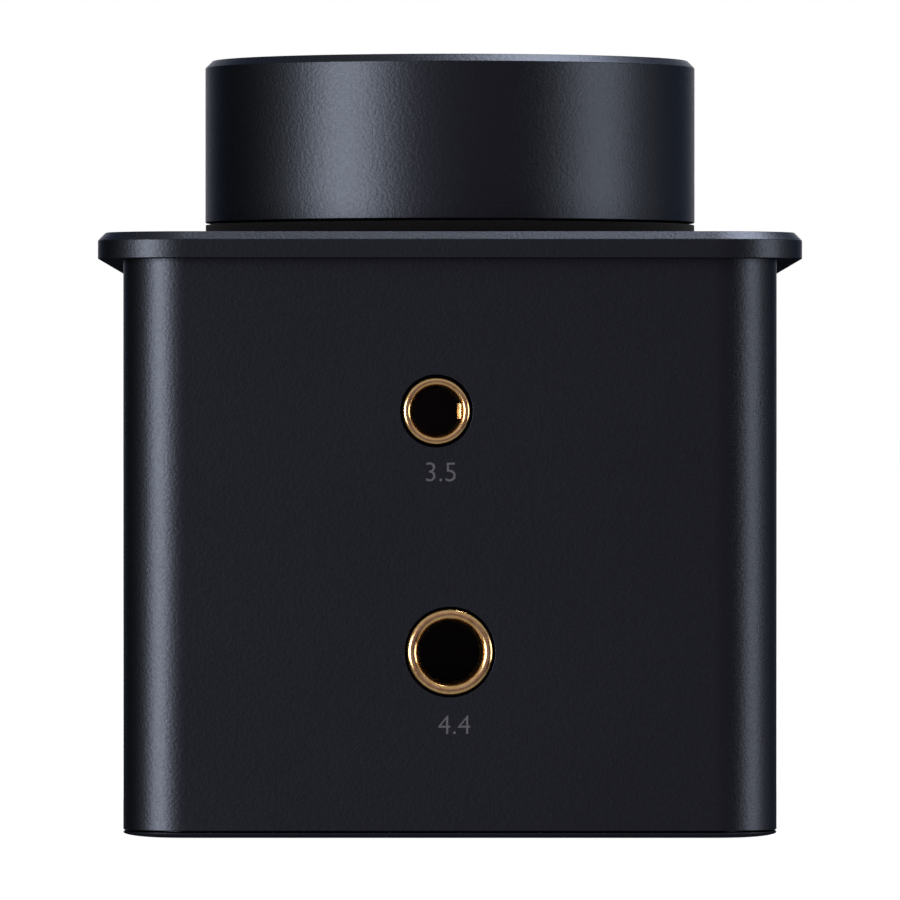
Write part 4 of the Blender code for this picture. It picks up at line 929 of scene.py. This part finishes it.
def make_port():
    """Rolled shell of the charging port, with its tongue and contacts."""
    size = size_of("usb_shell")
    middle = centre_of("usb_shell")
    rear_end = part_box("usb_shell")[1].y
    place = (middle.x, rear_end, middle.z)
    outer = slab(pill(size.x, size.z), 0.0, size.y)
    room = pill(size.x - 2 * USB_WALL, size.z - 2 * USB_WALL)
    shell = boolean(outer, [slab(room, -MARGIN, size.y + MARGIN)])
    place_mesh(shell, place, FACING_FRONT)
    piece("port_shell", shell, STEEL, "housing", ["usb_shell"], PORT_EDGE)
    tongue = size_of("usb_tongue")
    tip = rear_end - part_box("usb_tongue")[1].y
    back = slab(pill(tongue.x, tongue.z), size.y - TONGUE_BLOCK, size.y)
    blade_length = size.y - tip - TONGUE_BLOCK / 2
    blade = block(TONGUE_WIDTH, TONGUE_HEIGHT, blade_length, (0.0, 0.0, tip + blade_length / 2))
    mesh = place_mesh(boolean(back, [blade], "UNION"), place, FACING_FRONT)
    piece("port_tongue", mesh, PLASTIC, "housing", ["usb_tongue"], EDGE)
    contacts = []
    for index in range(PORT_CONTACTS):
        across = (index - (PORT_CONTACTS - 1) / 2) * PORT_PITCH
        contacts.append(block(
            PORT_CONTACT_WIDTH, TONGUE_HEIGHT + 2 * PORT_CONTACT_PROUD, PORT_CONTACT_LENGTH,
            (across, 0.0, tip + PORT_CONTACT_INSET + PORT_CONTACT_LENGTH / 2),
        ))
    mesh = place_mesh(joined(contacts), place, FACING_FRONT)
    piece("port_contacts", mesh, GILT, "housing")


def make_tray():
    """Card tray: its softened face with the pinhole, and the bed that holds the card."""
    size = size_of("card_tray")
    middle = centre_of("card_tray")
    face_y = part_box("card_tray")[1].y
    place = (middle.x, face_y, middle.z)
    face = slab(pill(size.x, size.z), 0.0, WALL)
    bed_length = size.y - WALL / 2
    bed = block(TRAY_BED_WIDTH, TRAY_BED_HEIGHT, bed_length, (0.0, 0.0, size.y - bed_length / 2))
    recess = slab(rounded_rectangle(CARD_WIDTH, CARD_LENGTH, CARD_RADIUS), 0.0, MARGIN)
    floor = TRAY_FLOOR - TRAY_BED_HEIGHT / 2
    start = WALL + CLEARANCE + CARD_LENGTH / 2
    upright = Matrix.Rotation(-math.radians(90), 4, "X")
    recess.transform(Matrix.Translation((0.0, floor, start)) @ upright)
    pinhole = cylinder(PINHOLE_RADIUS, -MARGIN, PINHOLE_DEPTH, DRILL_STEPS)
    pinhole.transform(Matrix.Translation((size.x / 2 - size.z / 2, 0.0, 0.0)))
    whole = boolean(face, [bed], "UNION")
    mesh = place_mesh(boolean(whole, [recess, pinhole]), place, FACING_FRONT)
    piece("slide_tray", mesh, ANODISED, "card_tray", ["card_tray"], EDGE)


def make_window():
    """Antenna window in the rear wall."""
    size = size_of("antenna_window")
    middle = centre_of("antenna_window")
    mesh = slab(pill(size.x, size.z), 0.0, size.y)
    place_mesh(mesh, (middle.x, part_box("antenna_window")[1].y, middle.z), FACING_FRONT)
    piece("radio_window", mesh, PLASTIC, "housing", ["antenna_window"], EDGE)


def dress_frame():
    """Fine materials on every CAD node; the ones that no piece replaces keep showing."""
    looks = {
        "steel": STEEL, "brass": BRASS, "gilt": GILT, "plastic": PLASTIC, "jack_plastic": JACK_PLASTIC,
        "rubber": RUBBER, "circuit_board": BOARD, "chip_resin": CHIP, "capacitor_can": CAN,
        "battery_film": BATTERY, "cover_glass": GLASS, "display": GLASS, "anodised": ANODISED,
        "anodised_cover": ANODISED, "anodised_knob": ANODISED_KNOB, "anodised_button": ANODISED,
    }
    for entry in frame["record"]["subparts"]:
        node = frame["nodes"][entry["node"]]
        node.data.materials.clear()
        node.data.materials.append(looks[entry["material_slot"]])


def make_marks():
    """Plug sizes printed under the jacks."""
    for name, text, low, high, drop in (
        ("phones_mark", "3.5", phones_low, phones_high, PHONES_MARK_DROP),
        ("balanced_mark", "4.4", balanced_low, balanced_high, BALANCED_MARK_DROP),
    ):
        letters = bpy.data.curves.new(name, "FONT")
        letters.body = text
        letters.size = MARK_SIZE
        letters.align_x = "CENTER"
        letters.align_y = "CENTER"
        letters.extrude = MARK_DEPTH
        letters.offset = -MARK_THINNING
        holder = bpy.data.objects.new(name, letters)
        bpy.context.scene.collection.objects.link(holder)
        middle = (low + high) / 2
        holder.location = (middle.x + MARK_SHIFT, front - MARK_PROUD, middle.z - drop)
        holder.rotation_euler = FACING_FRONT
        letters.materials.append(INK)
        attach(holder, "housing")


# ---------------------------------------------------------------- studio


# Sensor and lens in millimetres; the shift is a share of the picture's side
SENSOR_WIDTH = 36.0
LENS_LENGTH = 490.4
LENS_SHIFT = 0.017778
CAMERA_DISTANCE = 840.0 * MM
CAMERA_HEIGHT = 25.5 * MM
CAMERA_REACH = 100.0

FLOOR_HALF_SIDE = 60.0
FLOOR_GLOW = 0.985
LIGHT_DISTANCE = 1.4

# The world's glow behind the player, by the direction's Y, cut off below the horizon by its Z
BEHIND_Y = (0.62, 1.0)
BEHIND_GLOW = (0.02, 2.2)
HORIZON_Z = (-0.01, 0.03)
# Its sky and ground, as (Z where each starts, Z where it is full, radiance)
SKY = (0.2, 0.55, 0.42)
GROUND = (-0.25, -0.6, 0.34)


def make_camera():
    """Long lens that looks level at the jack end."""
    camera_data = bpy.data.cameras.new("camera")
    camera_data.sensor_width = SENSOR_WIDTH
    camera_data.lens = LENS_LENGTH
    camera_data.shift_y = LENS_SHIFT
    camera_data.clip_end = CAMERA_REACH
    camera = bpy.data.objects.new("camera", camera_data)
    camera.location = (0.0, front - CAMERA_DISTANCE, cover_low.z + CAMERA_HEIGHT)
    camera.rotation_euler = FACING_FRONT
    bpy.context.scene.collection.objects.link(camera)
    bpy.context.scene.camera = camera


def softbox(name, azimuth, elevation, width, height, radiance, colour=(1.0, 1.0, 1.0)):
    """Area light aimed at the player; azimuth runs from the camera's side to the right."""
    data = bpy.data.lights.new(name, "AREA")
    data.shape = "RECTANGLE"
    data.size = width
    data.size_y = height
    data.energy = radiance * math.pi * width * height
    data.color = colour
    light = bpy.data.objects.new(name, data)
    turn = math.radians(azimuth)
    rise = math.radians(elevation)
    away = Vector((
        math.sin(turn) * math.cos(rise), -math.cos(turn) * math.cos(rise), math.sin(rise),
    ))
    light.location = Vector((0.0, 0.0, knob_axis.z / 2)) + LIGHT_DISTANCE * away
    light.rotation_euler = away.to_track_quat("Z", "Y").to_euler()
    light.visible_camera = False
    bpy.context.scene.collection.objects.link(light)


def make_floor():
    """White glowing floor, seen by the camera and left out of the reflections."""
    side = FLOOR_HALF_SIDE
    mesh = bpy.data.meshes.new("floor")
    mesh.from_pydata(
        [(-side, -side, 0.0), (side, -side, 0.0), (side, side, 0.0), (-side, side, 0.0)],
        [], [(0, 1, 2, 3)],
    )
    floor = bpy.data.objects.new("floor", mesh)
    material, _, _, shader = new_shader("floor", (0.3, 0.3, 0.3), 0.9, 0.0)
    shader.inputs["Specular IOR Level"].default_value = 0.0
    shader.inputs["Emission Color"].default_value = (1.0, 1.0, 1.0, 1.0)
    shader.inputs["Emission Strength"].default_value = FLOOR_GLOW
    mesh.materials.append(material)
    bpy.context.scene.collection.objects.link(floor)
    floor.visible_glossy = False
    floor.visible_shadow = False


def combine(nodes, links, operation, first, second):
    """Two values put through one sum or product."""
    node = nodes.new("ShaderNodeMath")
    node.operation = operation
    links.new(first, node.inputs[0])
    links.new(second, node.inputs[1])
    return node.outputs["Value"]


def make_world():
    """Bright behind the player with a faint sky and ground; the camera itself sees plain white."""
    world = bpy.data.worlds.new("studio")
    bpy.context.scene.world = world
    world.use_nodes = True
    nodes = world.node_tree.nodes
    links = world.node_tree.links
    direction = nodes.new("ShaderNodeTexCoord")
    split = nodes.new("ShaderNodeSeparateXYZ")
    links.new(direction.outputs["Generated"], split.inputs["Vector"])
    height = split.outputs["Z"]
    behind = spread(nodes, links, split.outputs["Y"], *BEHIND_GLOW, *BEHIND_Y, "SMOOTHSTEP")
    above = spread(nodes, links, height, 0.0, 1.0, *HORIZON_Z)
    light = combine(nodes, links, "MULTIPLY", behind, above)
    for start, end, radiance in (SKY, GROUND):
        dome = spread(nodes, links, height, 0.0, radiance, start, end, "SMOOTHSTEP")
        light = combine(nodes, links, "ADD", light, dome)
    room = nodes["Background"]
    links.new(light, room.inputs["Color"])
    backdrop = nodes.new("ShaderNodeBackground")
    backdrop.inputs["Color"].default_value = (1.0, 1.0, 1.0, 1.0)
    path = nodes.new("ShaderNodeLightPath")
    mix = nodes.new("ShaderNodeMixShader")
    links.new(path.outputs["Is Camera Ray"], mix.inputs["Fac"])
    links.new(room.outputs["Background"], mix.inputs[1])
    links.new(backdrop.outputs["Background"], mix.inputs[2])
    links.new(mix.outputs["Shader"], nodes["World Output"].inputs["Surface"])


def make_studio():
    """Lights at both sides, one above and behind, and a faint fill from the camera's side."""
    softbox("left_strip", azimuth=-49.0, elevation=1.0, width=0.7, height=0.6, radiance=11.9)
    softbox("right_strip", azimuth=73.0, elevation=1.0, width=0.7, height=0.6, radiance=4.7)
    softbox("right_back", azimuth=122.0, elevation=0.0, width=1.2, height=1.2, radiance=0.35)
    softbox("overhead", azimuth=112.0, elevation=68.0, width=0.72, height=0.72, radiance=16.0)
    softbox(
        "front_fill", azimuth=0.0, elevation=4.0, width=1.5, height=1.0, radiance=0.2,
        colour=(1.05, 0.76, 1.12),
    )
    bpy.context.scene.view_settings.view_transform = "Standard"


dress_frame()
make_case()
make_top_plate()
make_knob()
make_jacks()
make_cover()
make_bolts()
make_glass()
make_buttons()
make_icons()
make_port()
make_tray()
make_window()
make_marks()
make_camera()
make_floor()
make_world()
make_studio()
